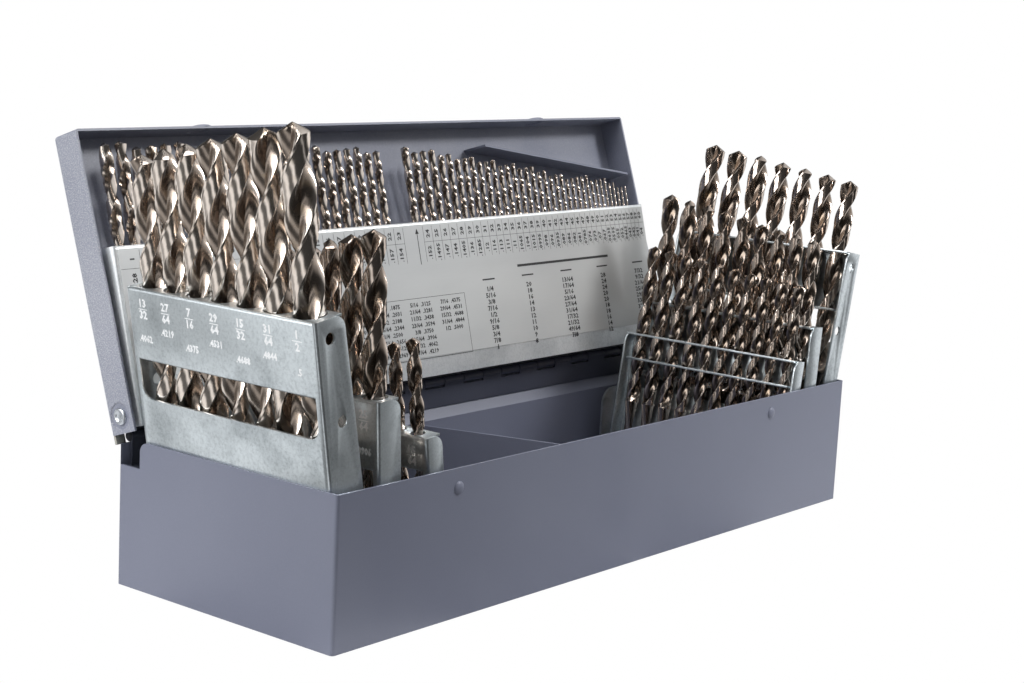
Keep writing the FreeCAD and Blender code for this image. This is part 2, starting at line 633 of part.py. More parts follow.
# ---------------------------------------------------------------- lid
def make_lid_shell():
    """Folded lid: face, two side flanges, front flange, heels, detent bumps and rivet dishes."""
    body = new_body("LidPan")
    start = "-( " + LID_FACE_OUT + " )"
    outside = box_outline(body, "LidOutside", "XZ_Plane", start,
                          (f"-( {LID_HALF_OUT} )", "lid_flange_start"), (LID_HALF_OUT, LID_TOP_OUT))
    pad(body, outside, f"lid_flange + {LID_FACE_OUT}")
    inside = box_outline(body, "LidInside", "XZ_Plane", "lid_flange",
                         (f"-( {LID_HALF_IN} )", "lid_flange_start - sheet"), (LID_HALF_IN, LID_TOP_IN))
    pocket(body, inside, f"lid_flange + {LID_FACE_IN}")
    heel, foot = "( case_length / 2 - heel_inset )", str(-heel_length())
    slot = box_outline(body, "BarrelSlot", "XZ_Plane", "0",
                       (f"-{heel}", "lid_flange_start - sheet"), (heel, "barrel_radius + barrel_gap"))
    pocket(body, slot, "lid_flange")
    soften_edges(body, "LidCorners", "bend", Y_AXIS,
                 lambda middle: near(abs(middle.x), lid_half_out) and near(middle.z, lid_top_out))
    soften_edges(body, "LidFolds", "bend", X_AXIS,
                 lambda middle: near(middle.z, lid_top_out) and near(middle.y, lid_face_out))
    for name, near_end, far_end in (("LeftHeel", f"-{heel}", f"-( {LID_HALF_IN} )"),
                                    ("RightHeel", heel, LID_HALF_IN)):
        sketch = box_outline(body, name, "XZ_Plane", start, (near_end, foot),
                             (far_end, "lid_flange_start"))
        pad(body, sketch, "sheet")
    document.recompute()
    added, cut = [], []
    for side in (-1, 1):
        top = Vector(side * size("detent_reach"), -socket_out(), lid_top_out)
        cap, hollow = pressed_bump(top, Z_AXIS, size("socket_width"), size("socket_rise"))
        added.append(cap)
        cut.append(hollow)
        rivet = Vector(0, -size("number_rivet_out"), size("number_rivet_up"))
        outward = Vector(side, 0, 0)
        radius, deep = size("dish_radius"), size("dish_depth")
        dish = [(0, radius - deep), (deep, radius)]
        added.append(turned(dish, rivet + outward * (lid_half_in - deep), outward, PRESSED_SIDES))
        cut.append(turned(dish, rivet + outward * (lid_half_out - deep), outward, PRESSED_SIDES))
        cut.append(drill(size("rivet_radius") + size("seat_play"), 3 * sheet_size,
                         rivet + outward * (lid_half_in - sheet_size), outward, PRESSED_SIDES))
    raised = boolean("Part::Fuse", "LidRaised", body, shape_feature("LidCaps", added))
    keep(boolean("Part::Cut", "LidShell", raised, shape_feature("LidHollows", cut)), "lid_shell",
         lid_place)


def heel_length():
    """Heels below the hinge axis, down to where the back wall stops them when the lid is open."""
    lean = math.radians(size("lid_open_lean"))
    wall = half_depth + size("heel_gap") - hinge_y
    return (lid_face_in * math.cos(lean) - wall) / math.sin(lean)


def make_bit_keeper():
    """Slanted flange on the lid's face that keeps the short bits from sliding out, with its foot."""
    body = new_body("BitKeeper")
    low = f"{LID_TOP_OUT} - keeper_left_drop", f"{LID_TOP_OUT} - keeper_right_drop"
    end = NUMBER_HALF
    face = f"-( {LID_FACE_IN} )"
    flange = outline(body, "KeeperFlange", "XZ_Plane", face, [
        ("keeper_start", low[0]), (end, low[1]),
        (end, low[1] + " + sheet"), ("keeper_start", low[0] + " + sheet"),
    ])
    pad(body, flange, "keeper_height")
    cut = outline(body, "KeeperSlant", "XY_Plane", LID_TOP_OUT, [
        ("keeper_start - sheet", LID_FACE_IN), ("keeper_start", LID_FACE_IN),
        ("keeper_start + keeper_cut", f"{LID_FACE_IN} - keeper_height"),
        ("keeper_start - sheet", f"{LID_FACE_IN} - keeper_height"),
    ])
    pocket(body, cut, LID_TOP_OUT)
    foot = outline(body, "KeeperFoot", "XZ_Plane", face, [
        ("keeper_start", low[0]), (end, low[1]),
        (end, low[1] + " - keeper_foot"), ("keeper_start + keeper_foot", low[0] + " - keeper_foot"),
    ])
    pad(body, foot, "sheet")
    document.recompute()
    keep(body, "bit_keeper", lid_place)


def make_number_rivets():
    """Two rivets through the lid's dishes on which the wire-gauge leaf tips."""
    rivets = []
    inner = number_half() - size("leaf_sheet") - size("leaf_play")
    head, radius, shank = size("rivet_head"), size("rivet_head_radius"), size("rivet_radius")
    collar = shank + size("rivet_collar")
    crown = (radius + size("rivet_bore")) / 2
    outer = lid_half_out - size("dish_depth")
    for side in (-1, 1):
        foot = Vector(0, -size("number_rivet_out"), size("number_rivet_up"))
        rivets.append(turned([
            (inner - head, collar), (inner, collar), (inner, shank), (outer, shank), (outer, radius),
            (outer + head / 2, radius), (outer + head, crown), (outer + head / 2, size("rivet_bore")),
        ], foot, Vector(side, 0, 0), PRESSED_SIDES))
    keep(shape_feature("LidRivets", rivets), "number_leaf_rivets", lid_place)


# ---------------------------------------------------------------- wire-gauge leaf
def number_half():
    """Half the length of the wire-gauge leaf."""
    return lid_half_in - size("number_side_gap")


def number_place():
    """Frame of the wire-gauge leaf: its rivets' axis on X, Z up its plate, Y to its back."""
    rivet = lid_place.multVec(Vector(0, -size("number_rivet_out"), size("number_rivet_up")))
    return Placement(rivet, Rotation(X_AXIS, size("number_tilt") - size("lid_open_lean")))


def number_row():
    """Bit diameters of the wire-gauge leaf in millimetres, and the middle of each along X."""
    diameters = [inches * INCH for inches in WIRES]
    start = -number_half() + size("number_row_left")
    length = 2 * number_half() - size("number_row_left") - size("number_row_right")
    spaces = {CENTRE_DRILL_AFTER: size("centre_drill_space")}
    return diameters, row_places(diameters, start, length, spaces)


def number_middle():
    """Y of the row of bits: halfway between the plate and the leaf's back."""
    return (size("number_back") - size("number_front") + size("leaf_sheet")) / 2


def make_number_channel():
    """Long folded leaf: plate, two ends on the rivets and a drilled top flange."""
    body = new_body("NumberSheet")
    front, back, thick = "-number_front", "number_back", "leaf_sheet"
    section = outline(body, "NumberSection", "YZ_Plane", f"-( {NUMBER_HALF} )", [
        (front, "-number_lip"), (f"{front} + {thick}", "-number_lip"),
        (f"{front} + {thick}", f"number_height - {thick}"), (back, f"number_height - {thick}"),
        (back, "number_height"), (front, "number_height"),
    ])
    pad(body, section, f"2 * ( {NUMBER_HALF} )")
    for name, start in (("NumberLeftEnd", f"-( {NUMBER_HALF} )"),
                        ("NumberRightEnd", f"{NUMBER_HALF} - {thick}")):
        pad(body, box_outline(body, name, "YZ_Plane", start, (front, "-number_lip"),
                              (back, "number_height")), thick)
    top, lip = size("number_height"), -size("number_lip")
    soften_edges(body, "NumberTopFold", "leaf_bend", X_AXIS,
                 lambda middle: near(middle.y, -size("number_front")) and near(middle.z, top))
    soften_edges(body, "NumberEndCorners", "number_back - sheet", X_AXIS,
                 lambda middle: near(middle.y, size("number_back")) and near(middle.z, lip))
    document.recompute()
    diameters, places = number_row()
    middle = number_middle()
    deep = 3 * size("leaf_sheet")
    radii = [diameter / 2 + size("hole_play") for diameter in diameters]
    centre_x = (places[CENTRE_DRILL_AFTER - 1] + places[CENTRE_DRILL_AFTER]) / 2
    tools = [drill(radius, deep, Vector(across, middle, top - deep), Z_AXIS, WIRE_SIDES)
             for radius, across in zip(radii + [size("centre_drill_radius")], places + [centre_x])]
    tools.append(drill(size("rivet_radius") + size("pivot_play"), 4 * number_half(),
                       Vector(-2 * number_half(), 0, 0), X_AXIS, PRESSED_SIDES))
    holes = shape_feature("NumberHoles", tools)
    keep(boolean("Part::Cut", "NumberChannel", body, holes), "number_leaf_channel", number_place())


def number_slope():
    """Rise of the wire-gauge leaf's shelf per millimetre along X."""
    places = number_row()[1]
    return (size("number_shelf_high") - size("number_shelf_low")) / (places[-1] - places[0])


def number_shelf_height(across):
    """Height of the shelf's top at a place along X."""
    return size("number_shelf_low") + number_slope() * (across - number_row()[1][0])


def make_number_shelf():
    """Sloping shelf on which the wire-gauge bits stand, welded to the plate by a flange."""
    body = new_body("NumberShelf")
    end = number_half() - size("leaf_sheet") - size("leaf_play")
    left, right = number_shelf_height(-end), number_shelf_height(end)
    front = "number_front - leaf_sheet"
    width = "number_front - leaf_sheet + number_back - leaf_sheet"
    for name, drop, depth in (("ShelfTop", "leaf_sheet", width),
                              ("ShelfWeb", "number_shelf_web", "leaf_sheet")):
        back = f"{front} - ( {depth} )"
        sketch = outline(body, name, "XZ_Plane", back, [
            (str(-end), f"{left} - {drop}"), (str(end), f"{right} - {drop}"), (str(end), str(right)),
            (str(-end), str(left)),
        ])
        pad(body, sketch, depth)
    document.recompute()
    keep(body, "number_leaf_shelf", number_place())


def make_number_label():
    """Thin printed size plate on the front of the wire-gauge leaf."""
    body = new_body("NumberLabel")
    edge = f"( {NUMBER_HALF} - label_margin )"
    sketch = box_outline(body, "LabelOutline", "XZ_Plane", "number_front",
                         ("-" + edge, "label_start"), (edge, "number_height - label_margin"))
    pad(body, sketch, "label_sheet")
    document.recompute()
    keep(body, "number_size_plate", number_place())


def make_number_bits():
    """Sixty wire-gauge bits in a row, on the sloping shelf."""
    diameters, places = number_row()
    bits = []
    for inches, diameter, across in zip(WIRES, diameters, places):
        foot = number_shelf_height(across) + diameter / 2 * number_slope()
        bits.append(drill_bit(inches, Vector(across, number_middle(), foot), WIRE_SIDES))
    keep(shape_feature("NumberBits", bits), "number_bits", number_place())


# ---------------------------------------------------------------- drill leaves
def make_leaf(leaf):
    """One folded drill leaf of an end set, with its window, its two drilled shelves and its bits."""
    title = leaf.title().replace("_", "")
    own = LEAVES[leaf]
    body = new_body(title + "Sheet")
    plate, thick = f"-{leaf}_inset", "leaf_sheet"
    inner = f"{plate} + {thick}"
    shelf, height = f"{leaf}_shelf", f"{leaf}_height"
    foot_edge, top_edge = f"{plate} + {leaf}_foot_width", f"{plate} + {leaf}_top_width"
    for name, start in (("NearEnd", f"-{thick}"), ("FarEnd", str(-leaf_length))):
        flange = outline(body, title + name, "XZ_Plane", start, [
            (plate, "-ear_drop"), ("ear_reach", "-ear_drop"), (foot_edge, f"{shelf}"),
            (top_edge, height), (plate, height),
        ])
        pad(body, flange, thick)
    top_x = own["top_width"] - own["inset"]
    soften_edges(body, title + "TopCorners", "leaf_round", Y_AXIS,
                 lambda middle: near(middle.x, top_x) and near(middle.z, own["height"]))
    soften_edges(body, title + "Ears", "ear_drop - leaf_sheet", Y_AXIS,
                 lambda middle: near(middle.z, -size("ear_drop")), CHAMFER)
    foot_free, top_free = foot_edge + " - shelf_setback", top_edge + " - shelf_setback"
    section = outline(body, title + "Section", "XZ_Plane", f"{thick} - {leaf_length}", [
        (plate, f"{shelf} - {thick}"), (foot_free, f"{shelf} - {thick}"), (foot_free, shelf),
        (inner, shelf), (inner, f"{height} - {thick}"), (top_free, f"{height} - {thick}"),
        (top_free, height), (plate, height),
    ])
    pad(body, section, f"{leaf_length} - 2 * {thick}")
    window = box_outline(body, title + "Window", "YZ_Plane", inner,
                         ("window_margin", f"{leaf}_window_low"),
                         (f"{leaf_length} - window_margin", f"{leaf}_window_high"))
    pocket(body, window, thick)
    flap = box_outline(body, title + "Flap", "XY_Plane", f"{leaf}_window_high",
                       (plate + " + leaf_sheet / 2", "window_margin"),
                       (top_free, f"{leaf_length} - window_margin"))
    pad(body, flap, thick)
    low = own["window_low"]
    soften_edges(body, title + "WindowCorners", "window_round", X_AXIS,
                 lambda middle: near(middle.z, low))
    document.recompute()
    diameters = [inches * INCH for inches in LEAF_BITS[leaf]]
    start, length = size("leaf_sheet"), leaf_length - 2 * size("leaf_sheet")
    places = row_places(diameters, start, length, {})
    row_x = size("leaf_sheet") - own["inset"] + size("bit_wall_gap") + max(diameters) / 2
    below = size("leaf_sheet") / 2
    tools = [drill(diameter / 2 + size("hole_play"), own["height"] - own["window_high"] + 2 * below,
                   Vector(row_x, along, own["window_high"] - below), Z_AXIS, WIRE_SIDES)
             for diameter, along in zip(diameters, places)]
    tools.append(drill(size("pivot_radius") + size("pivot_play"), 2 * leaf_length,
                       Vector(0, -leaf_length / 2, 0), Y_AXIS, PIVOT_SIDES))
    if own["pivot_step"] == 0:
        for place in ("upper", "lower"):
            centre = Vector(size(f"lightening_{place}_in") - own["inset"], -leaf_length / 2,
                            own["height"] - size(f"lightening_{place}_drop"))
            tools.append(drill(size("lightening_radius"), 2 * leaf_length, centre, Y_AXIS, PRESSED_SIDES))
    keep(boolean("Part::Cut", title + "Channel", body, shape_feature(title + "Holes", tools)),
         leaf + "_channel", leaf_place(leaf))
    bits = [drill_bit(inches, Vector(row_x, along, own["shelf"]), BIT_SIDES)
            for inches, along in zip(LEAF_BITS[leaf], places)]
    keep(shape_feature(title + "Bits", bits), leaf + "_bits", leaf_place(leaf))


# ---------------------------------------------------------------- build and write
make_base_shell()
make_back_liner()
make_divider()
make_leaf_bracket("left")
make_leaf_bracket("right")
make_hinge()
make_lid_shell()
make_bit_keeper()
make_number_rivets()
make_number_channel()
make_number_shelf()
make_number_label()
make_number_bits()
for leaf_name in LEAVES:
    make_leaf(leaf_name)
document.recompute()

for item in document.Objects:
    if "Invalid" in item.State or "Error" in item.State:
        raise RuntimeError(f"{item.Name} failed: {item.State}")
for part in parts:
    if part.Shape.isNull() or not part.Shape.isValid():
        raise RuntimeError(f"{part.Label} has no valid shape")

os.makedirs("parts", exist_ok=True)
for part in parts:
    part.Shape.exportStep(f"parts/{part.Label}.step")
    print(part.Label, len(part.Shape.Solids), round(part.Shape.Volume, 1))
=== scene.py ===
"""Looks of the folding drill index: painted case and lid, zinc drill leaves, twist drills, numbers."""
import json
import logging
import math
from dataclasses import dataclass, field, replace
from enum import Enum
from fractions import Fraction
from typing import Callable, Optional, Sequence, Union

import bpy
import numpy as np
from mathutils import Matrix, Vector

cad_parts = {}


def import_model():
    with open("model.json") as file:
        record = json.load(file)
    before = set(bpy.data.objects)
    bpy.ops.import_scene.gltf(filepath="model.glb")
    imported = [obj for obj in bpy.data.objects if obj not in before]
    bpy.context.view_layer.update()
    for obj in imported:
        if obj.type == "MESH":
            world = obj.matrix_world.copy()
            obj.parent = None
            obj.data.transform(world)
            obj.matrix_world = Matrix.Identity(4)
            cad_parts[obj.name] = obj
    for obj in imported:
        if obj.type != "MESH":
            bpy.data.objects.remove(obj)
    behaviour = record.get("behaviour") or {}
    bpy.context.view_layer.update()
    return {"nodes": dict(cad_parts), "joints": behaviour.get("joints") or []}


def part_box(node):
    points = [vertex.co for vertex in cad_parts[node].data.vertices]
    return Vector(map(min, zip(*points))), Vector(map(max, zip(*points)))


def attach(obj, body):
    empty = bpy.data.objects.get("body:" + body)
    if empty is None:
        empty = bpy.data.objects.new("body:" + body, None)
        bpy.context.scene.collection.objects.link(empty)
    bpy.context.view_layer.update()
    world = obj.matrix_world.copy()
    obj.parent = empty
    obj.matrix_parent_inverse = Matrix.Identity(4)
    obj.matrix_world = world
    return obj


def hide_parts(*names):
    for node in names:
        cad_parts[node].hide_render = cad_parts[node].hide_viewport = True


LOG = logging.getLogger("drill_index")
MM = 0.001
INCH_MM = 25.4
INCH = INCH_MM * MM
X, Y, Z = (1, 0, 0), (0, 1, 0), (0, 0, 1)
UP = Vector(Z)
# Sizes of the folded sheet and the print, in millimetres.
SHEET = 1.0  # thickness of the sheet
BEND = 1.4  # outside radius of a fold
LAP = 0.3  # how far a flat laps into the fold beside it
RUN = BEND - LAP  # distance of a flat's edge from the outside of that fold
EDGE = 0.12  # radius of a cut edge
PLAY = 0.2  # room round a drill in its hole
INK = 0.03  # thickness of the print
DIGIT = 0.7  # height of a digit against the size of its font
SHARP = math.radians(35.0)  # edges that turn by more than this stay sharp
WELD = 7  # decimals to which the points of one corner agree
Four = tuple[float, float, float, float]
Colour = Four
Numbers = Sequence[float]
Pair = tuple[float, float]
Triple = tuple[float, float, float]
Pairs = tuple[Pair, ...]
Joints = dict[str, dict]
Operand = Union[float, "Value"]

# Drill diameters in inches: 64ths of an inch, letters A to Z, and wire gauges 1 to 60.
FRACTIONS = [numerator / 64 for numerator in range(4, 33)]
LETTERS = [.234, .238, .242, .246, .250, .257, .261, .266, .272, .277, .281, .290, .295,
           .302, .316, .323, .332, .339, .348, .358, .368, .377, .386, .397, .404, .413]
WIRES = [.2280, .2210, .2130, .2090, .2055, .2040, .2010, .1990, .1960, .1935, .1910, .1890,
         .1850, .1820, .1800, .1770, .1730, .1695, .1660, .1610, .1590, .1570, .1540, .1520,
         .1495, .1470, .1440, .1405, .1360, .1285, .1200, .1160, .1130, .1110, .1100, .1065,
         .1040, .1015, .0995, .0980, .0960, .0935, .0890, .0860, .0820, .0810, .0785, .0760,
         .0730, .0700, .0670, .0635, .0595, .0550, .0520, .0465, .0430, .0420, .0410, .0400]
# Standard lengths of the wire gauges in eighths of an inch: how many gauges share each, from 31 to 13.
WIRE_EIGHTHS = np.repeat(range(31, 12, -1), [2, 4, 4, 3, 4, 4, 3, 3, 2, 3, 3, 3, 3, 2, 3, 5, 4, 2, 3])


def tone(red: float, green: float, blue: float) -> Colour:
    """Linear colour of a screen colour given as 0 to 255 levels.

    Args:
        red: Screen level of red.
        green: Screen level of green.
        blue: Screen level of blue.

    Returns:
        The colour as the shader sockets take it.
    """
    levels = np.array([red, green, blue]) / 255.0
    linear = np.where(levels <= 0.04045, levels / 12.92, ((levels + 0.055) / 1.055) ** 2.4)
    return float(linear[0]), float(linear[1]), float(linear[2]), 1.0


def linked(name: str, data: bpy.types.ID) -> bpy.types.Object:
    """New object of the scene.

    Args:
        name: Name of the object.
        data: Mesh, lamp or camera that it shows.

    Returns:
        The object.
    """
    made = bpy.data.objects.new(name, data)
    bpy.context.scene.collection.objects.link(made)
    return made


# ---- shader maths
def joiner(operation: str, swapped: bool = False) -> Callable[["Value", Operand], "Value"]:
    """Operator of Value that joins it to an operand by a math node.

    Args:
        operation: Operation of the node.
        swapped: Whether the operand stands on the left.

    Returns:
        The method.
    """
    def join(value: "Value", other: Operand) -> "Value":
        """Math node of the value and the operand."""
        operands = (other, value) if swapped else (value, other)
        return value.graph.calculate(operation, *operands)

    return join


class Value:
    """Socket of a node tree that takes part in Python expressions on values."""

    __add__, __radd__ = joiner("ADD"), joiner("ADD", swapped=True)
    __sub__, __rsub__ = joiner("SUBTRACT"), joiner("SUBTRACT", swapped=True)
    __mul__, __rmul__ = joiner("MULTIPLY"), joiner("MULTIPLY", swapped=True)

    def __init__(self, graph: "Graph", socket: bpy.types.NodeSocket) -> None:
        """Keep the socket and the graph that it belongs to."""
        self.graph = graph
        self.socket = socket

    def rise(self, low: float, high: float) -> "Value":
        """Smooth step from 0 at low to 1 at high."""
        return self.graph.add("MapRange", {"interpolation_type": "SMOOTHSTEP"},
                              {"Value": self, "From Min": low, "From Max": high})


class Graph:
    """Nodes of one material or world."""

    def __init__(self, tree: bpy.types.NodeTree) -> None:
        """Empty the tree and keep it."""
        self.tree = tree
        tree.nodes.clear()

    def add(self, kind: str, settings: Optional[dict] = None, sockets: Optional[dict] = None,
            output: Union[int, str] = 0) -> Value:
        """Add any node.

        Args:
            kind: Node type, without the ShaderNode before it.
            settings: Properties set first; "stops" holds a colour ramp's (place, colour) pairs.
            sockets: Numbers, colours or values for its inputs, by name or number.
            output: Name or number of the output to return.

        Returns:
            The chosen output.
        """
        node = self.tree.nodes.new("ShaderNode" + kind)
        for name, setting in (settings or {}).items():
            if name == "stops":
                self._stops(node.color_ramp, setting)
            else:
                setattr(node, name, setting)
        for name, given in (sockets or {}).items():
            if isinstance(given, Value):
                self.tree.links.new(given.socket, node.inputs[name])
            else:
                node.inputs[name].default_value = given
        return Value(self, node.outputs[output])

    @staticmethod
    def _stops(ramp: bpy.types.ColorRamp, stops: Sequence[tuple[float, Colour]]) -> None:
        """Set the stops of a colour ramp.

        Args:
            ramp: The ramp.
            stops: Place and colour of each stop.
        """
        while len(ramp.elements) < len(stops):
            ramp.elements.new(1.0)
        for element, (place, colour) in zip(ramp.elements, stops):
            element.position = place
            element.color = colour

    def calculate(self, operation: str, *operands: Operand) -> Value:
        """Math node of one or two operands."""
        return self.add("Math", {"operation": operation}, dict(enumerate(operands)))

    def place(self, scale: Numbers = (1.0, 1.0, 1.0)) -> Value:
        """Object coordinates, stretched by a scale along each axis."""
        plain = self.add("TexCoord", output="Object")
        return self.add("Mapping", sockets={"Vector": plain, "Scale": scale})

    def along(self, way: Value, axis: Numbers) -> Value:
        """Part of a direction or a place that lies along an axis."""
        return self.add("VectorMath", {"operation": "DOT_PRODUCT"}, {0: way, 1: axis}, "Value")

    def ray(self, kind: str) -> Value:
        """1 for rays of a kind, such as Camera, and 0 for all others."""
        return self.add("LightPath", output=f"Is {kind} Ray")

    def noise(self, size: float, detail: float = 2.0, stretch: Numbers = (1.0, 1.0, 1.0),
              rough: float = 0.5) -> Value:
        """Noise from 0 to 1 with blots of about size metres and finer layers of strength rough."""
        return self.add("TexNoise", sockets={
            "Vector": self.place(stretch), "Scale": 1.0 / size, "Detail": detail, "Roughness": rough})

    def mix(self, share: Operand, first: Union[Colour, Value], second: Union[Colour, Value]) -> Value:
        """Colour between two: the first at a share of 0, the second at 1."""
        return self.add("Mix", {"data_type": "RGBA"}, {0: share, 6: first, 7: second}, 2)

    def bump(self, height: Value, strength: float, distance: float) -> Value:
        """Normal bent, at a share of strength, by a height whose value of 1 is distance metres."""
        sockets = {"Height": height, "Strength": strength, "Distance": distance}
        return self.add("Bump", sockets=sockets)

    def surface(self, **sockets: object) -> None:
        """Principled shader with these inputs, linked to the output."""
        named = {name.replace("_", " "): given for name, given in sockets.items()}
        self.add_output(self.add("BsdfPrincipled", sockets=named))

    def add_output(self, shader: Value, kind: str = "Material") -> None:
        """Output node fed by a shader."""
        node = self.tree.nodes.new("ShaderNodeOutput" + kind)
        self.tree.links.new(shader.socket, node.inputs["Surface"])


# ---- finishes
@dataclass(frozen=True)
class Finish:
    """Kind of finish whose material is made once and shared."""

    name: str

    def dress(self, graph: Graph) -> None:
        """Build the nodes of the finish."""
        raise NotImplementedError

    def material(self) -> bpy.types.Material:
        """Material of the finish, made at its first use.

        Returns:
            The material.
        """
        found = bpy.data.materials.get(self.name)
        if found is not None:
            return found
        made = bpy.data.materials.new(self.name)
        made.use_nodes = True
        self.dress(Graph(made.node_tree))
        return made


@dataclass(frozen=True)
class Paint(Finish):
    """Sprayed enamel on sheet: orange peel, faint clouds and a few rubbed specks.

    The peel is coarse beyond rough_from, a distance from the middle of the case along it.
    """

    colour: Colour
    light: Colour
    peel: float = 0.25
    peel_size: float = 1.1 * MM
    cloud_size: float = 45 * MM
    grit_size: float = 0.55 * MM
    relief: float = 0.12 * MM
    roughness: float = 0.45
    rough_from: float = 1.0

    def dress(self, graph: Graph) -> None:
        """Clouded colour with light specks, and the peel as a bump; both are coarser beyond rough_from.

        Args:
            graph: Nodes to add to.
        """
        along = graph.add("SeparateXYZ", sockets={"Vector": graph.place()})
        coarse = graph.calculate("ABSOLUTE", along).rise(self.rough_from - 0.1 * MM, self.rough_from)
        clouds = graph.noise(self.cloud_size, detail=3.0).rise(0.3, 0.7)
        peel = graph.noise(self.peel_size)
        grit = graph.noise(self.grit_size, detail=3.0, rough=0.7)
        specks = grit.rise(0.42, 0.7) * (0.12 + 0.36 * coarse) + 0.06 * coarse
        colour = graph.mix(0.12 * clouds + specks, self.colour, self.light)
        rough = self.roughness + 0.08 * (clouds - 0.5)
        height = peel * self.peel + 1.6 * coarse * grit
        graph.surface(Base_Color=colour, Roughness=rough, Normal=graph.bump(height, 0.6, self.relief))


@dataclass(frozen=True)
class Zinc(Finish):
    """Zinc plate on folded sheet: fine mottling, soft stains and drawn streaks."""

    bright: Colour
    dull: Colour
    roughness: float = 0.3
    stain: float = 0.35
    metallic: float = 0.9
    blot_size: float = 1.4 * MM
    stain_size: float = 22 * MM
    speck_size: float = 0.5 * MM
    streak_size: float = 0.45 * MM
    relief: float = 0.03 * MM

    def dress(self, graph: Graph) -> None:
        """Mottle of two greys in small grains, with slow stains and a faint rolled grain.

        Args:
            graph: Nodes to add to.
        """
        blots = graph.noise(self.blot_size, detail=5.0, rough=0.75)
        stains = graph.noise(self.stain_size, detail=3.0).rise(0.42, 0.72)
        specks = graph.noise(self.speck_size, detail=1.0).rise(0.70, 0.78)
        mottle = blots.rise(0.38, 0.80)
        share = 0.62 * mottle * (1 - self.stain) + self.stain * stains + 0.35 * specks
        colour = graph.mix(share, self.bright, self.dull)
        rough = self.roughness + 0.14 * mottle
        streaks = graph.noise(self.streak_size, stretch=(1.0, 0.06, 1.0))
        graph.surface(Base_Color=colour, Metallic=self.metallic, Roughness=rough,
                      Normal=graph.bump(streaks + 0.5 * blots, 0.22, self.relief))


@dataclass(frozen=True)
class DrillSteel(Finish):
    """Straw-tinted, ground drill steel: darker in the flutes, brighter on the lands."""

    land: Colour
    flute: Colour
    straw: Colour
    roughness: float = 0.20
    heat_size: float = 5 * MM
    mark_size: float = 0.22 * MM
    relief: float = 0.03 * MM

    def dress(self, graph: Graph) -> None:
        """Land and flute colours by the depth attribute, a tint for each drill, and grinding marks.

        Args:
            graph: Nodes to add to.
        """
        depth = graph.add("Attribute", {"attribute_name": "depth"}, output="Fac")
        tint = graph.add("Attribute", {"attribute_name": "tint"}, output="Fac")
        heat = graph.noise(self.heat_size, detail=3.0).rise(0.5, 0.8)
        body = graph.mix(depth.rise(0.05, 0.75), self.land, self.flute)
        colour = graph.mix(0.3 * tint * heat, body, self.straw)
        marks = graph.noise(self.mark_size, stretch=(1.0, 1.0, 0.2))
        rough = self.roughness + 0.09 * depth.rise(0.3, 1.0) + 0.06 * (heat - 0.5)
        graph.surface(Base_Color=colour, Metallic=1.0, Roughness=rough,
                      Normal=graph.bump(marks, 0.22, self.relief))


@dataclass(frozen=True)
class Plate(Finish):
    """Satin face of the printed size plate."""

    colour: Colour
    shade: Colour
    cloud_size: float = 60 * MM
    grain_size: float = 0.35 * MM
    relief: float = 0.02 * MM

    def dress(self, graph: Graph) -> None:
        """Even satin with slow clouds and a fine brushed grain along the plate.

        Args:
            graph: Nodes to add to.
        """
        clouds = graph.noise(self.cloud_size, stretch=(0.5, 1.0, 1.6)).rise(0.35, 0.65)
        grain = graph.noise(self.grain_size, stretch=(0.04, 1.0, 1.0))
        colour = graph.mix(0.5 * clouds + 0.12 * grain, self.colour, self.shade)
        graph.surface(Base_Color=colour, Metallic=0.45, Roughness=0.36 + 0.08 * grain,
                      Normal=graph.bump(grain, 0.08, self.relief))


@dataclass(frozen=True)
class Ink(Finish):
    """Printed or stamped marks."""

    colour: Colour
    metallic: float = 0.0
    roughness: float = 0.55
    speck_size: float = 0.25 * MM

    def dress(self, graph: Graph) -> None:
        """Colour that thins in small specks.

        Args:
            graph: Nodes to add to.
        """
        thin = graph.noise(self.speck_size).rise(0.55, 0.8)
        paler = tuple(min(1.0, 2.2 * level + 0.02) for level in self.colour[:3]) + (1.0,)
        graph.surface(Base_Color=graph.mix(0.5 * thin, self.colour, paler), Metallic=self.metallic,
                      Roughness=self.roughness + 0.1 * thin)


class Finishes(Enum):
    """Every finish on the index."""

    CASE = Paint("blue_grey_case_paint", tone(110, 114, 131), tone(132, 136, 151))
    LID = Paint("blue_grey_lid_paint", tone(115, 119, 136), tone(204, 206, 210), rough_from=181.6 * MM)
    BARE = Zinc("bare_heel", tone(198, 196, 188), tone(150, 148, 140), roughness=0.42, stain=0.3)
    LEAF = Zinc("zinc_leaf", tone(214, 222, 226), tone(104, 113, 119))
    LONG_LEAF = Zinc("zinc_long_leaf", tone(236, 239, 241), tone(170, 176, 180), metallic=0.55)
    BRACKET = Zinc("zinc_bracket", tone(180, 184, 188), tone(110, 116, 122), stain=0.6)
    RIVET = Zinc("zinc_rivet", tone(205, 210, 216), tone(150, 156, 164), roughness=0.25, stain=0.2)
    DRILL = DrillSteel("straw_drill_steel", tone(232, 221, 211), tone(152, 140, 130), tone(206, 176, 130))
    # Darker copy of the straw drill steel, with painted shade, for the drills of every leaf but the left
    # outer one.
    BRONZE = DrillSteel("drill_steel_painted_shade", tone(207, 193, 182), tone(120, 109, 100), tone(188, 156, 112),
                        roughness=0.17)
    PLATE = Plate("satin_size_plate", tone(200, 202, 202), tone(170, 172, 174))
    PRINT = Ink("black_print", tone(30, 30, 33))
    STAMP = Ink("stamped_zinc", tone(248, 250, 252), metallic=0.4, roughness=0.4)
    HINGE = Paint("painted_hinge", tone(66, 69, 82), tone(96, 99, 112), roughness=0.38)


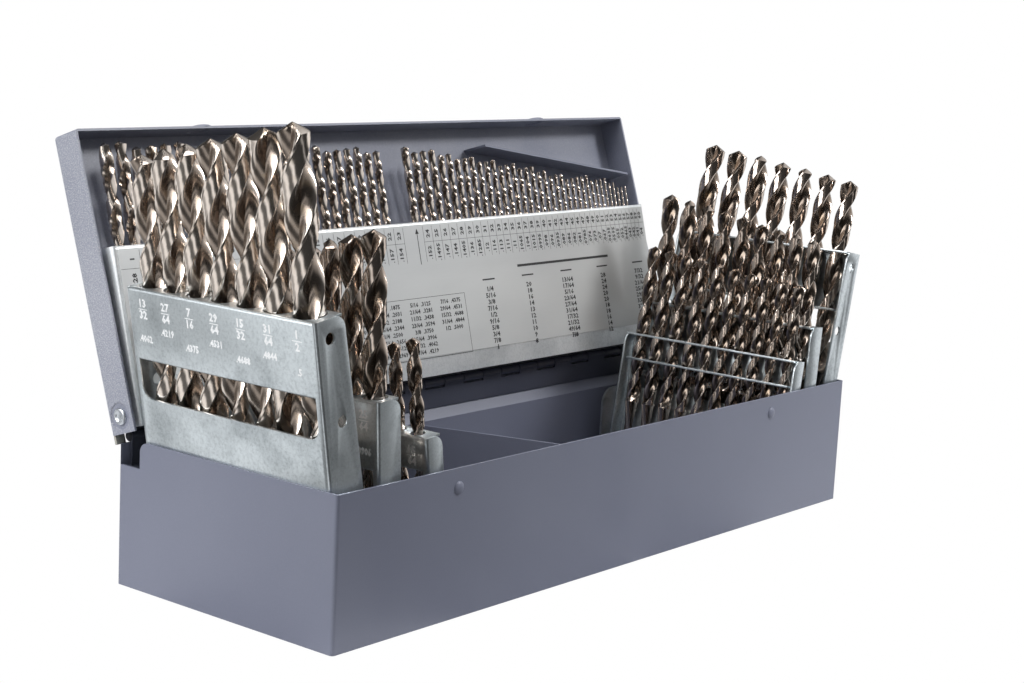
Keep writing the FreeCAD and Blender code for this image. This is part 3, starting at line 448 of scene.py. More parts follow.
# ---- surfaces
@dataclass
class Skin:
    """Closed surface as arrays: points, four-sided and three-sided faces, and values at the points."""

    points: np.ndarray
    quads: np.ndarray = field(default_factory=lambda: np.zeros((0, 4), int))
    triangles: np.ndarray = field(default_factory=lambda: np.zeros((0, 3), int))
    values: dict[str, np.ndarray] = field(default_factory=dict)

    def moved(self, place: Matrix) -> "Skin":
        """The same surface put in its place by a rigid placement."""
        points = self.points @ np.array(place.to_3x3()).T + np.array(place.translation)
        return replace(self, points=points)


def joined(skins: Sequence[Skin]) -> Skin:
    """One surface of several, which stay loose from each other.

    Args:
        skins: Surfaces that carry the same values.

    Returns:
        The surface of all of them.
    """
    starts = np.cumsum([0] + [len(skin.points) for skin in skins[:-1]])
    return Skin(np.vstack([skin.points for skin in skins]),
                np.vstack([skin.quads + start for skin, start in zip(skins, starts)]),
                np.vstack([skin.triangles + start for skin, start in zip(skins, starts)]),
                {name: np.concatenate([skin.values[name] for skin in skins]) for name in skins[0].values})


def outward(skin: Skin) -> Skin:
    """Closed surface with its faces turned outwards, which the sign of its volume tells.

    Args:
        skin: Closed surface.

    Returns:
        The surface, its faces pointing outwards.
    """
    faces = np.vstack([skin.triangles, skin.quads[:, [0, 1, 2]], skin.quads[:, [0, 2, 3]]])
    first, second, third = (skin.points[faces[:, corner]] for corner in range(3))
    if float((first * np.cross(second, third)).sum()) < 0:
        return replace(skin, quads=skin.quads[:, ::-1], triangles=skin.triangles[:, ::-1])
    return skin


def from_curve(curve: bpy.types.Curve) -> Skin:
    """Closed surface of a filled flat curve or a text, its doubled points made one.

    Args:
        curve: The curve, which is removed.

    Returns:
        Its surface in triangles.
    """
    holder = bpy.data.objects.new("holder", curve)
    mesh = bpy.data.meshes.new_from_object(holder)
    mesh.calc_loop_triangles()
    points = np.zeros(len(mesh.vertices) * 3)
    mesh.vertices.foreach_get("co", points)
    corners = np.zeros(len(mesh.loop_triangles) * 3, np.int32)
    mesh.loop_triangles.foreach_get("vertices", corners)
    bpy.data.objects.remove(holder)
    bpy.data.curves.remove(curve)
    bpy.data.meshes.remove(mesh)
    rows = np.round(points.reshape(-1, 3), WELD)
    merged, numbers = np.unique(rows, axis=0, return_inverse=True)
    triangles = numbers.ravel()[corners].reshape(-1, 3)
    distinct = (triangles != np.roll(triangles, 1, axis=1)).all(axis=1)
    return outward(Skin(merged, triangles=triangles[distinct]))


def circle(centre: Numbers, radius: float, around: int = 32) -> np.ndarray:
    """Points on a circle, in two dimensions."""
    turns = np.linspace(0, 2 * math.pi, around, endpoint=False)
    return np.asarray(centre) + radius * np.column_stack([np.cos(turns), np.sin(turns)])


def hole(centre: Numbers, inches: float, around: int = 24) -> np.ndarray:
    """Hole of a sheet round a drill of this diameter, in millimetres."""
    return circle(centre, inches * INCH_MM / 2 + PLAY, around)


def rounded(corners: Sequence[Triple], steps: int = 7) -> np.ndarray:
    """Polygon whose corners are arcs.

    Each arc touches both sides at a distance of radius / tan(half the corner's angle), and its points
    are swung from one touching point to the other round the arc's centre.

    Args:
        corners: Two coordinates and the radius of each corner.
        steps: Points on each arc.

    Returns:
        The points in two dimensions.
    """
    table = np.asarray(corners, float)
    spots, radii = table[:, :2], table[:, 2]
    runs = []
    for spot, before, after, radius in zip(spots, np.roll(spots, 1, 0), np.roll(spots, -1, 0), radii):
        if radius <= 0:
            runs.append(spot[None])
            continue
        back = (before - spot) / np.linalg.norm(before - spot)
        forth = (after - spot) / np.linalg.norm(after - spot)
        half = math.acos(float(np.clip(back @ forth, -1, 1))) / 2
        centre = spot + (back + forth) / np.linalg.norm(back + forth) * radius / math.sin(half)
        reach, span = radius / math.tan(half), math.pi - 2 * half
        start, end = spot + back * reach - centre, spot + forth * reach - centre
        share = np.linspace(0, 1, steps)[:, None]
        swung = np.sin((1 - share) * span) * start + np.sin(share * span) * end
        runs.append(centre + swung / math.sin(span))
    return np.vstack(runs)


def panel(loops: Sequence[np.ndarray], thick: float) -> Skin:
    """Flat sheet inside the first loop with the others as holes, its edges rounded.

    Args:
        loops: Closed loops of points, in millimetres.
        thick: Thickness of the sheet, in millimetres.

    Returns:
        The sheet in metres, from Z 0 to its thickness.
    """
    curve = bpy.data.curves.new("panel", "CURVE")
    curve.dimensions, curve.fill_mode = "2D", "BOTH"
    curve.extrude, curve.bevel_depth, curve.offset = thick / 2 - EDGE, EDGE, -EDGE
    curve.bevel_resolution = 1
    for loop in loops:
        spline = curve.splines.new("POLY")
        spline.points.add(len(loop) - 1)
        rows = np.column_stack([loop, np.zeros(len(loop)), np.ones(len(loop))])
        spline.points.foreach_set("co", rows.ravel())
        spline.use_cyclic_u = True
    skin = from_curve(curve)
    return replace(skin, points=(skin.points + np.array([0, 0, thick / 2])) * MM)


def axes(across: Numbers, upward: Numbers, origin: Numbers) -> Matrix:
    """Placement whose X and Y run along two directions.

    Args:
        across: Direction of X.
        upward: Direction of Y.
        origin: Origin in millimetres.

    Returns:
        The placement, in metres.
    """
    first, second = Vector(across), Vector(upward)
    turn = Matrix((first, second, first.cross(second))).transposed().to_4x4()
    return Matrix.Translation(Vector(origin) * MM) @ turn


def fold(length: float, start: float, steps: int = 8) -> Skin:
    """Quarter bend of the sheet round the Z axis: a rectangle carried along an arc.

    Args:
        length: Length of the fold along Z, in millimetres.
        start: Angle at which it starts, in degrees from X.
        steps: Sections along the arc.

    Returns:
        The fold, in metres.
    """
    turns = np.radians(np.linspace(start, start + 90, steps))[:, None]
    reach = np.array([BEND, BEND, BEND - SHEET, BEND - SHEET])[None]
    height = np.array([0, length, length, 0.0])[None] + 0 * turns
    return tube(np.stack([reach * np.cos(turns), reach * np.sin(turns), height], axis=-1) * MM)


def rectangle(low: Numbers, high: Numbers) -> np.ndarray:
    """Corners of a rectangle between two points."""
    return np.array([low, (high[0], low[1]), high, (low[0], high[1])], float)


def wall(loops: Sequence[np.ndarray], across: Numbers, upward: Numbers,
         origin: Numbers) -> Skin:
    """Flat zinc sheet with loops drawn on two directions, its thickness towards their cross product."""
    return panel(loops, SHEET).moved(axes(across, upward, origin))


def lathe(profile: Sequence[Pair], around: int = 48) -> Skin:
    """Closed turned form on the Z axis.

    Args:
        profile: Height and radius of each ring, in millimetres.
        around: Points on a ring.

    Returns:
        The form, in metres.
    """
    rings = [np.column_stack([circle((0, 0), radius, around), np.full(around, height)])
             for height, radius in profile]
    return tube(np.array(rings) * MM)


def both_ends(skin: Skin, place: Matrix, upward: Numbers, spot: Numbers) -> Skin:
    """The same form at both ends of the case.

    Args:
        skin: The form.
        place: Placement of the piece that carries it.
        upward: Direction of its Y there.
        spot: Distance from the middle of the case, and two coordinates, in millimetres.

    Returns:
        Both forms.
    """
    half, back, level = spot
    return joined([skin.moved(place @ axes(X, upward, (side * half, back, level)))
                   for side in (-1, 1)])


def tube(rings: np.ndarray, values: Optional[dict[str, np.ndarray]] = None) -> Skin:
    """Closed surface through rings of points: each ring joins the next, and a fan closes each end.

    Args:
        rings: Points of each ring, rings by places by three, turning left about the way they go.
        values: Values at the points, rings by places.

    Returns:
        The surface, its faces pointing outwards.
    """
    count, around = rings.shape[:2]
    middles = np.array([rings[0].mean(0), rings[-1].mean(0)])
    index = np.arange(count * around).reshape(count, around)
    right = np.roll(index, -1, axis=1)
    quads = np.stack([index[:-1], right[:-1], right[1:], index[1:]], axis=-1).reshape(-1, 4)
    first, last = count * around, count * around + 1
    low = np.stack([np.full(around, first), right[0], index[0]], axis=-1)
    high = np.stack([np.full(around, last), index[-1], right[-1]], axis=-1)
    ended = {name: np.concatenate([given.ravel(), [given[0].mean(), given[-1].mean()]])
             for name, given in (values or {}).items()}
    return outward(Skin(np.vstack([rings.reshape(-1, 3), middles]), quads, np.vstack([low, high]), ended))


def block(low: Numbers, high: Numbers) -> Skin:
    """Box between two corners given in millimetres, for thin marks.

    Args:
        low: Lowest corner.
        high: Highest corner.

    Returns:
        The surface, in metres.
    """
    (x0, y0, z0), (x1, y1, z1) = np.array(low) * MM, np.array(high) * MM
    ring = np.array([(x0, y0), (x1, y0), (x1, y1), (x0, y1)])
    points = np.vstack([np.column_stack([ring, np.full(4, level)]) for level in (z0, z1)])
    quads = np.array([(0, 3, 2, 1), (4, 5, 6, 7), (0, 1, 5, 4), (1, 2, 6, 5), (2, 3, 7, 6), (3, 0, 4, 7)])
    return Skin(points, quads)


def piece(name: str, skin: Skin, body: str, finish: Finishes,
          replaced: Sequence[str] = ()) -> None:
    """Add a finished piece of the index.

    Args:
        name: Name of the piece.
        skin: Its surface, in place.
        body: Body that it rides on.
        finish: Its finish.
        replaced: Nodes that the piece stands for.
    """
    mesh = bpy.data.meshes.new(name)
    corners = np.concatenate([skin.quads.ravel(), skin.triangles.ravel()])
    totals = np.repeat([4, 3], [len(skin.quads), len(skin.triangles)])
    starts = np.concatenate([[0], np.cumsum(totals)[:-1]])
    mesh.vertices.add(len(skin.points))
    mesh.vertices.foreach_set("co", skin.points.astype(np.float32).ravel())
    mesh.loops.add(len(corners))
    mesh.loops.foreach_set("vertex_index", corners.astype(np.int32))
    mesh.polygons.add(len(totals))
    for label, given in (("loop_start", starts.astype(np.int32)), ("loop_total", totals.astype(np.int32)),
                         ("use_smooth", np.ones(len(totals), bool))):
        mesh.polygons.foreach_set(label, given)
    mesh.update(calc_edges=True)
    mesh.validate()
    for label, given in skin.values.items():
        attribute = mesh.attributes.new(label, "FLOAT", "POINT")
        attribute.data.foreach_set("value", given.astype(np.float32))
    mesh.set_sharp_from_angle(angle=SHARP)
    mesh.materials.append(finish.value.material())
    made = linked(name, mesh)
    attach(made, body)
    if replaced:
        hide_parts(*replaced)
    LOG.info("%s: %d points, %d faces", name, len(skin.points), len(totals))


# ---- lettering
@dataclass
class Lettering:
    """Plain numbers as thin flat solids: their thickness in metres, their boldness and the lines made."""

    thick: float = INK * MM
    bold: float = 0.03
    store: dict[str, Skin] = field(default_factory=dict)

    def line(self, text: str) -> Skin:
        """One line of numbers on an em of one unit.

        Args:
            text: The numbers.

        Returns:
            Its surface in X and Y with its middle at the origin, Z towards the reader.
        """
        if text not in self.store:
            curve = bpy.data.curves.new("line", "FONT")
            curve.body = text
            curve.align_x, curve.align_y = "CENTER", "CENTER"
            curve.resolution_u = 1
            curve.extrude = 0.5
            curve.offset = self.bold
            self.store[text] = from_curve(curve)
        return self.store[text]

    def put(self, text: str, height: float, centre: Numbers, along: Vector, upward: Vector,
            narrow: float = 1.0) -> Skin:
        """A line of numbers on a plane.

        Args:
            text: The numbers.
            height: Height of a digit, in millimetres.
            centre: Middle of the line, on the plane, in millimetres.
            along: Reading direction.
            upward: Up direction of the digits.
            narrow: Width of the digits against plain ones.

        Returns:
            Its surface in metres, on the plane.
        """
        flat = self.line(text)
        towards = along.cross(upward)
        scale = height * MM / DIGIT
        basis = np.array([along * scale * narrow, upward * scale, towards * self.thick])
        middle = np.array(Vector(centre) * MM) + np.array(towards) * self.thick * 0.5
        return replace(flat, points=flat.points @ basis + middle)


def decimal(inches: float) -> str:
    """Diameter as a decimal without outer noughts."""
    return f"{inches:.4f}".strip("0")


# ---- twist drills
@dataclass
class TwistDrill:
    """Jobber twist drill: two flutes round a web, a plain shank and a 118 degree point."""

    inches: float
    helix: float = 31.0
    point_angle: float = 118.0
    tint: float = 0.0
    turn: float = 0.0
    coarse: bool = False
    overall: float = 0.0

    def length(self) -> float:
        """Overall length: the one given, or a jobber drill's of this diameter."""
        return self.overall or min(2 + 8 * self.inches, 1.25 + 12 * self.inches) * INCH

    def flute_length(self) -> float:
        """Length of its flutes: a jobber drill's, and a little more on the thick ones."""
        usual = min(2.3125 + 7 * (self.inches - 0.1875), 0.875 + 11.5 * (self.inches - 0.0625)) * INCH
        return usual + 20 * MM * self.inches

    def section(self) -> tuple[np.ndarray, np.ndarray]:
        """Section over half a turn: margin, cleared land, flute.

        Returns:
            Angles in degrees, and radii against the drill's own.
        """
        if self.coarse:
            angles = [0, 12, 44, 78, 98, 116, 138, 165]
            radii = [1.0, .97, .97, .96, .74, .42, .30, .62]
        else:
            angles = [0, 7, 10, 30, 50, 66, 71, 79, 90, 103, 117, 131, 145, 157, 167, 174, 178.5]
            radii = [1.0, 1.0, .955, .955, .955, .95, .90, .74, .56, .42, .32, .27, .30, .42, .62, .82,
                     .97]
        return np.array(angles), np.array(radii)

    def skin(self) -> Skin:
        """Section carried up the axis with a steady twist.

        The depth of the flutes runs out at the shank by a smooth step, and no ring is wider than the
        cone of the point at its height.

        Returns:
            The drill on the Z axis, its shank's end at the origin.
        """
        radius = self.inches * INCH / 2
        angles, ratios = self.section()
        angles = np.radians(np.concatenate([angles, angles + 180]))
        ratios = np.concatenate([ratios, ratios])[None, :]
        slope = math.tan(math.radians(self.point_angle / 2))
        lead = 2 * math.pi * radius / math.tan(math.radians(self.helix))
        total, cone = self.length(), radius / slope
        start = total - self.flute_length()
        per_turn = 20 if self.coarse else 26
        steps = max(8, int(round((total - cone - start) / lead * per_turn)))
        # Rings of the shank with its bevelled end, of the fluted part, and of the cone up to near its tip.
        heights = np.concatenate([
            [0.0, 0.25 * radius, start - 0.1 * radius], np.linspace(start, total - cone, steps),
            total - cone * np.array([0.82, 0.6, 0.4, 0.22, 0.1, 0.03])])[:, None]
        run_out = np.clip((heights - start) / (0.9 * radius), 0, 1)
        deep = run_out * run_out * (3 - 2 * run_out)
        shape = (1 - deep * (1 - ratios)) * radius
        shape = np.minimum(shape, np.maximum(total - heights, 0.0) * slope)
        shape[0] *= 0.9
        twist = heights * 2 * math.pi / lead + self.turn + angles[None, :]
        rings = np.stack([shape * np.cos(twist), shape * np.sin(twist),
                          np.broadcast_to(heights, twist.shape)], axis=-1)
        depth = deep * np.clip((1 - ratios) / 0.5, 0, 1)
        return tube(rings, {"depth": depth, "tint": np.full(depth.shape, self.tint)})


def row_places(diameters: Numbers, start: float, length: float,
               spaces: dict[int, float]) -> list[float]:
    """Middle of each drill in a row, with equal gaps.

    Args:
        diameters: Diameters in the order of the row.
        start: Start of the row.
        length: Length of the row.
        spaces: Extra room after some drills, by their number from one.

    Returns:
        The places along the row.
    """
    gap = (length - sum(diameters) - sum(spaces.values())) / (len(diameters) + 1)
    places, edge = [], start
    for number, diameter in enumerate(diameters, 1):
        places.append(edge + gap + diameter / 2)
        edge += gap + diameter + spaces.get(number, 0.0)
    return places


# ---- drill leaves
class Side(Enum):
    """End of the case that a set of leaves stands at."""

    LEFT = "left"
    RIGHT = "right"


@dataclass
class DrillLeaf:
    """One folding leaf of an end set, in its own frame: pivots on Y, X to the open side, Z up the plate.

    The lean is in degrees and all sizes are in millimetres. The plate stands inset behind the pivots. The
    drills stand on the shelf and pass the flap above the window and the flange at the leaf's height.
    """

    name: str
    side: Side
    lean: float
    inset: float
    shelf: float
    height: float
    foot_width: float
    top_width: float
    window_low: float
    window_high: float
    drills: Numbers
    labels: Sequence[str]
    wall_gap: float = 0.25
    length: float = 102.0
    ear_drop: float = 3.6
    ear_reach: float = 3.4
    ear_lap: float = 0.2
    setback: float = 0.2
    window_margin: float = 3.0
    corner: float = 5.0
    pivot_hole: float = 1.36
    light_hole: float = 2.3
    stamp_size: float = 3.1
    stamp_drop: float = 5.6
    stamp_deep: float = 0.05
    stamp_bold: float = 0.035
    stamp_share: float = 0.42
    mark_share: float = 0.85
    bar_half: float = 0.16
    mark_drops: Pair = (19.8, 15.8)
    lightening: Sequence[Pair] = ()
    # Drill steel: by default the darker copy with painted shade; the left outer leaf takes the straw steel.
    steel: Finishes = Finishes.BRONZE

    def place(self, joints: Joints) -> Matrix:
        """Placement of the leaf's frame, from its joint.

        Args:
            joints: Joints of the record by name.

        Returns:
            The placement.
        """
        joint = joints[self.name + "_fold"]
        pivot = Vector(joint["pos_m"])
        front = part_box(self.name + "_channel")
        if self.side is Side.LEFT:
            pivot.y = front[0].y
            return Matrix.Translation(pivot) @ Matrix.Rotation(-math.radians(self.lean), 4, "Y")
        pivot.y = front[1].y
        turn = Matrix.Rotation(math.radians(self.lean), 4, "Y") @ Matrix.Rotation(math.pi, 4, "Z")
        return Matrix.Translation(pivot) @ turn

    def row(self) -> tuple[list[float], float]:
        """Row of drills, in millimetres.

        Returns:
            Middle of each drill along the leaf, and the row's distance out from the plane of the pivots.
        """
        diameters = [inches * INCH_MM for inches in self.drills]
        places = row_places(diameters, SHEET, self.length - 2 * SHEET, {})
        return places, SHEET - self.inset + self.wall_gap + max(diameters) / 2

    def build(self, joints: Joints, chance: np.random.Generator) -> None:
        """Make the folded sheet, its stamped sizes and its drills.

        Args:
            joints: Joints of the record by name.
            chance: Source of the drills' turns and tints.
        """
        place, body = self.place(joints), self.name + "_leaf"
        piece(self.name + "_folded_sheet", self.channel().moved(place), body, Finishes.LEAF,
              replaced=[self.name + "_channel"])
        piece(self.name + "_stamped_sizes", self.stamps().moved(place), body, Finishes.STAMP)
        places, across = self.row()
        skins = []
        for inches, along in zip(self.drills, places):
            drill = TwistDrill(inches, tint=float(chance.uniform(0, 1)),
                               turn=float(chance.uniform(0, math.pi)))
            foot = Matrix.Translation(Vector((across, along, self.shelf)) * MM)
            skins.append(drill.skin().moved(place @ foot))
        piece(self.name + "_twist_drills", joined(skins), body, self.steel,
              replaced=[self.name + "_bits"])

    def channel(self) -> Skin:
        """Folded sheet of the leaf.

        Returns:
            Plate with its window, flap, top flange, shelf and end flanges, and the folds between them.
        """
        back = -self.inset
        low, high, top = self.shelf - SHEET, self.window_high, self.height
        span, ends = (SHEET, self.length - SHEET), (self.window_margin, self.length - self.window_margin)
        foot, free = back + self.foot_width, back + self.top_width
        places, across = self.row()
        holes = [hole((across, along), inches) for inches, along in zip(self.drills, places)]
        window = rounded([(ends[0], self.window_low, self.corner), (ends[1], self.window_low, self.corner),
                          (ends[1], high + RUN, 0), (ends[0], high + RUN, 0)])
        plate = rectangle((RUN, low + RUN), (self.length - RUN, top - RUN))
        skins = [wall([plate, window], Y, Z, (back, 0, 0))]
        flats = ((top - SHEET, span, free, holes), (high, ends, free, holes), (low, span, foot, []))
        for height, (start, end), edge, cuts in flats:
            outline = rectangle((back + RUN, start), (edge - self.setback, end))
            skins.append(wall([outline] + cuts, X, Y, (0, 0, height)))
        for spot, (start, end), first in ((top - BEND, span, 90), (high + BEND, ends, 180),
                                          (low + BEND, span, 180)):
            place = axes(X, Z, (back + BEND, end, spot))
            skins.append(fold(end - start, first).moved(place))
        chamfer, under = self.ear_drop - SHEET, low - self.ear_lap
        slant = np.array([foot - self.ear_reach, self.shelf + self.ear_drop])
        ear = np.array([self.ear_reach, -self.ear_drop]) + slant / np.linalg.norm(slant) * chamfer
        flange = rounded([(back, chamfer - self.ear_drop, 0), (back + chamfer, -self.ear_drop, 0),
                          (self.ear_reach - chamfer, -self.ear_drop, 0), (ear[0], ear[1], 0),
                          (foot, self.shelf, 0), (free, top, self.corner), (back + RUN, top, 0),
                          (back + RUN, under, 0), (back, under, 0)])
        cuts = [circle((0, 0), self.pivot_hole, around=24)]
        cuts += [circle((back + inward, top - drop), self.light_hole) for inward, drop in self.lightening]
        for near, far, first in ((SHEET, BEND, 180), (self.length, self.length - BEND, 90)):
            skins.append(wall([flange] + cuts, X, Z, (0, near, 0)))
            place = axes(X, Y, (back + BEND, far, under))
            skins.append(fold(top - low + self.ear_lap, first).moved(place))
        return joined(skins)

    def stamps(self) -> Skin:
        """Sizes struck into the plate's outside.

        Returns:
            Each drill's size near the top of the plate, fractions in two rows with a bar between them,
            and its decimal below the size.
        """
        letters, face = Lettering(self.stamp_deep * MM, self.stamp_bold), -self.inset
        places, _ = self.row()
        # The digits are smaller where the drills stand closer; a fraction's rows are 1.5 digits apart.
        size = min(self.stamp_size, self.stamp_share * self.length / len(places))
        level = self.height - self.stamp_drop
        skins = []

        def strike(text: str, tall: float, along: float, high: float, narrow: float = 1.0) -> None:
            """Line of digits at a place along the plate and a height on it."""
            skins.append(letters.put(text, tall, (face, along, high), Vector((0, -1, 0)), UP, narrow))

        for number, (label, inches, middle) in enumerate(zip(self.labels, self.drills, places)):
            rows = label.split("/")
            for row, text in enumerate(rows):
                strike(text, size, middle, level - 1.5 * size * row)
            if len(rows) > 1:
                bar = level - 0.75 * size
                skins.append(block((face - self.stamp_deep, middle - 0.8 * size, bar - self.bar_half),
                                   (face, middle + 0.8 * size, bar + self.bar_half)))
            mark = self.height - self.mark_drops[number % 2]
            strike(decimal(inches), self.mark_share * size, middle, mark, narrow=0.9)
        return joined(skins)


# ---- camera and stage
@dataclass
class ViewCamera:
    """Camera in front of the left end of the case, a little above it."""

    place: Triple = (-0.678, -0.539, 0.2385)
    azimuth: float = -51.1
    elevation: float = 9.78
    roll: float = 2.93
    focal_pixels: float = 1971.7
    width_pixels: int = 1024
    film: float = 36.0

    def build(self) -> None:
        """Create the camera and make it the scene's."""
        turn, rise = math.radians(self.azimuth), math.radians(self.elevation)
        ahead = Vector((-math.sin(turn) * math.cos(rise), math.cos(turn) * math.cos(rise), -math.sin(rise)))
        right = ahead.cross(UP).normalized()
        upward = right.cross(ahead)
        tilt = math.radians(self.roll)
        across = right * math.cos(tilt) + upward * math.sin(tilt)
        above = upward * math.cos(tilt) - right * math.sin(tilt)
        data = bpy.data.cameras.new("view")
        data.lens = self.focal_pixels / self.width_pixels * self.film
        data.sensor_width = self.film
        data.clip_start = 0.01
        camera = linked("view", data)
        view = Matrix((across, above, -ahead)).transposed().to_4x4()
        camera.matrix_world = Matrix.Translation(Vector(self.place)) @ view
        bpy.context.scene.camera = camera


@dataclass(frozen=True)
class Lamp:
    """Soft square lamp that looks at a point: its place, width in metres and power in watts."""

    name: str
    place: Triple
    target: Triple
    size: float
    power: float

    def build(self) -> None:
        """Hang the lamp."""
        data = bpy.data.lights.new(self.name, "AREA")
        data.size = self.size
        data.energy = self.power
        lamp = linked(self.name, data)
        lamp.location = self.place
        ahead = Vector(self.target) - Vector(self.place)
        lamp.rotation_euler = ahead.to_track_quat("-Z", "Y").to_euler()


@dataclass
class Studio:
    """Plain pale floor, soft lamps and an even world; metal shows soft panels that stand round the case.

    Each panel is a bearing in degrees, to the right from the viewer as seen from the case, and its grey.
    """

    floor_size: float = 8.0
    floor_greys: Pair = (0.86, 0.06)
    floor_fade: Pair = (0.06, 0.28)
    ambient: float = 0.34
    glow: Triple = (0.8, -0.45, 0.4)
    glow_edge: Pair = (0.4, 0.9)
    horizon: Pair = (0.08, 0.3)
    room: Pair = (0.05, 0.7)
    front: Triple = (-0.5, -0.866, 0.0)
    viewer: Triple = (-0.778, -0.628, 0.0)
    sideways: Triple = (0.628, -0.778, 0.0)
    panels: Pairs = (
        (-180, 0.15), (-135, 0.15), (-124, 1.0), (-104, 1.0), (-96, 0.42), (-76, 0.46), (-66, 1.0),
        (-52, 1.0), (-45, 0.15), (-28, 0.12), (-21, 1.0), (-14, 1.0), (-7, 0.05), (56, 0.03), (63, 0.6),
        (70, 0.03), (102, 0.03), (113, 1.0), (136, 1.0), (148, 0.15), (180, 0.15))
    lamps: tuple[Lamp, ...] = (
        Lamp("left", (-1.35, 0.45, 0.85), (0.0, 0.0, 0.08), 1.2, 23.0),
        Lamp("right", (0.75, -0.75, 0.95), (0.1, 0.0, 0.08), 0.3, 11.0),
        Lamp("top", (-0.1, -0.3, 1.9), (0.0, 0.0, 0.05), 0.9, 14.0))

    def build(self) -> None:
        """Make the floor, the world and the lamps."""
        self._floor()
        self._world()
        for lamp in self.lamps:
            lamp.build()

    def _panels(self, graph: Graph, way: Value) -> Value:
        """Grey of the panels by their bearing.

        Args:
            graph: Nodes to add to.
            way: Direction, or place on the floor.

        Returns:
            The grey.
        """
        right, near = (graph.along(way, axis) for axis in (self.sideways, self.viewer))
        bearing = graph.calculate("ARCTAN2", right, near)
        stops = [(degrees / 360 + 0.5, (grey, grey, grey, 1.0)) for degrees, grey in self.panels]
        turn = bearing * (0.5 / math.pi) + 0.5
        return graph.add("ValToRGB", {"stops": stops}, {"Fac": turn}, "Color")

    def _floor(self) -> None:
        """Pale floor, a little darker in front; the camera sees it white and metal sees the panels in it."""
        mesh = bpy.data.meshes.new("floor")
        low, high = (-self.floor_size / 2,) * 2, (self.floor_size / 2,) * 2
        mesh.from_pydata([(x, y, 0) for x, y in rectangle(low, high)], [], [(0, 1, 2, 3)])
        floor = linked("floor", mesh)
        made = bpy.data.materials.new("pale_floor")
        made.use_nodes = True
        graph = Graph(made.node_tree)
        forward = graph.along(graph.place(), self.front).rise(*self.floor_fade)
        behind, ahead = ((grey, grey, grey, 1.0) for grey in self.floor_greys)
        colour = graph.mix(forward, behind, ahead)
        pale = graph.add("BsdfDiffuse", sockets={"Color": colour})
        panels = graph.add("Emission", sockets={"Color": self._panels(graph, graph.place())})
        white = graph.add("Emission", sockets={"Color": (1, 1, 1, 1), "Strength": 1.0})
        unseen = graph.add("MixShader", sockets={0: graph.ray("Glossy"), 1: pale, 2: panels})
        graph.add_output(graph.add("MixShader",
                                   sockets={0: graph.ray("Camera"), 1: unseen, 2: white}))
        mesh.materials.append(made)

    def _world(self) -> None:
        """Even grey as light and white to the camera; metal sees the panels below a dark room with a glow."""
        world = bpy.data.worlds.new("studio")
        bpy.context.scene.world = world
        world.use_nodes = True
        graph = Graph(world.node_tree)
        seen, glossy, clear = (graph.ray(kind) for kind in ("Camera", "Glossy", "Transmission"))
        way = graph.add("TexCoord", output="Generated")
        side = graph.along(way, self.glow).rise(*self.glow_edge)
        height = graph.add("SeparateXYZ", sockets={"Vector": way}, output="Z")
        rising = height.rise(*self.horizon)
        dark, lit = self.room
        room = rising * (dark + lit * side) + (1 - rising) * self._panels(graph, way)
        diffuse = 1 - (seen + glossy + clear).rise(0.0, 1.0)
        strength = self.ambient * diffuse + seen + (glossy + clear) * room
        light = graph.add("Background", sockets={"Color": (1, 1, 1, 1), "Strength": strength})
        graph.add_output(light, "World")


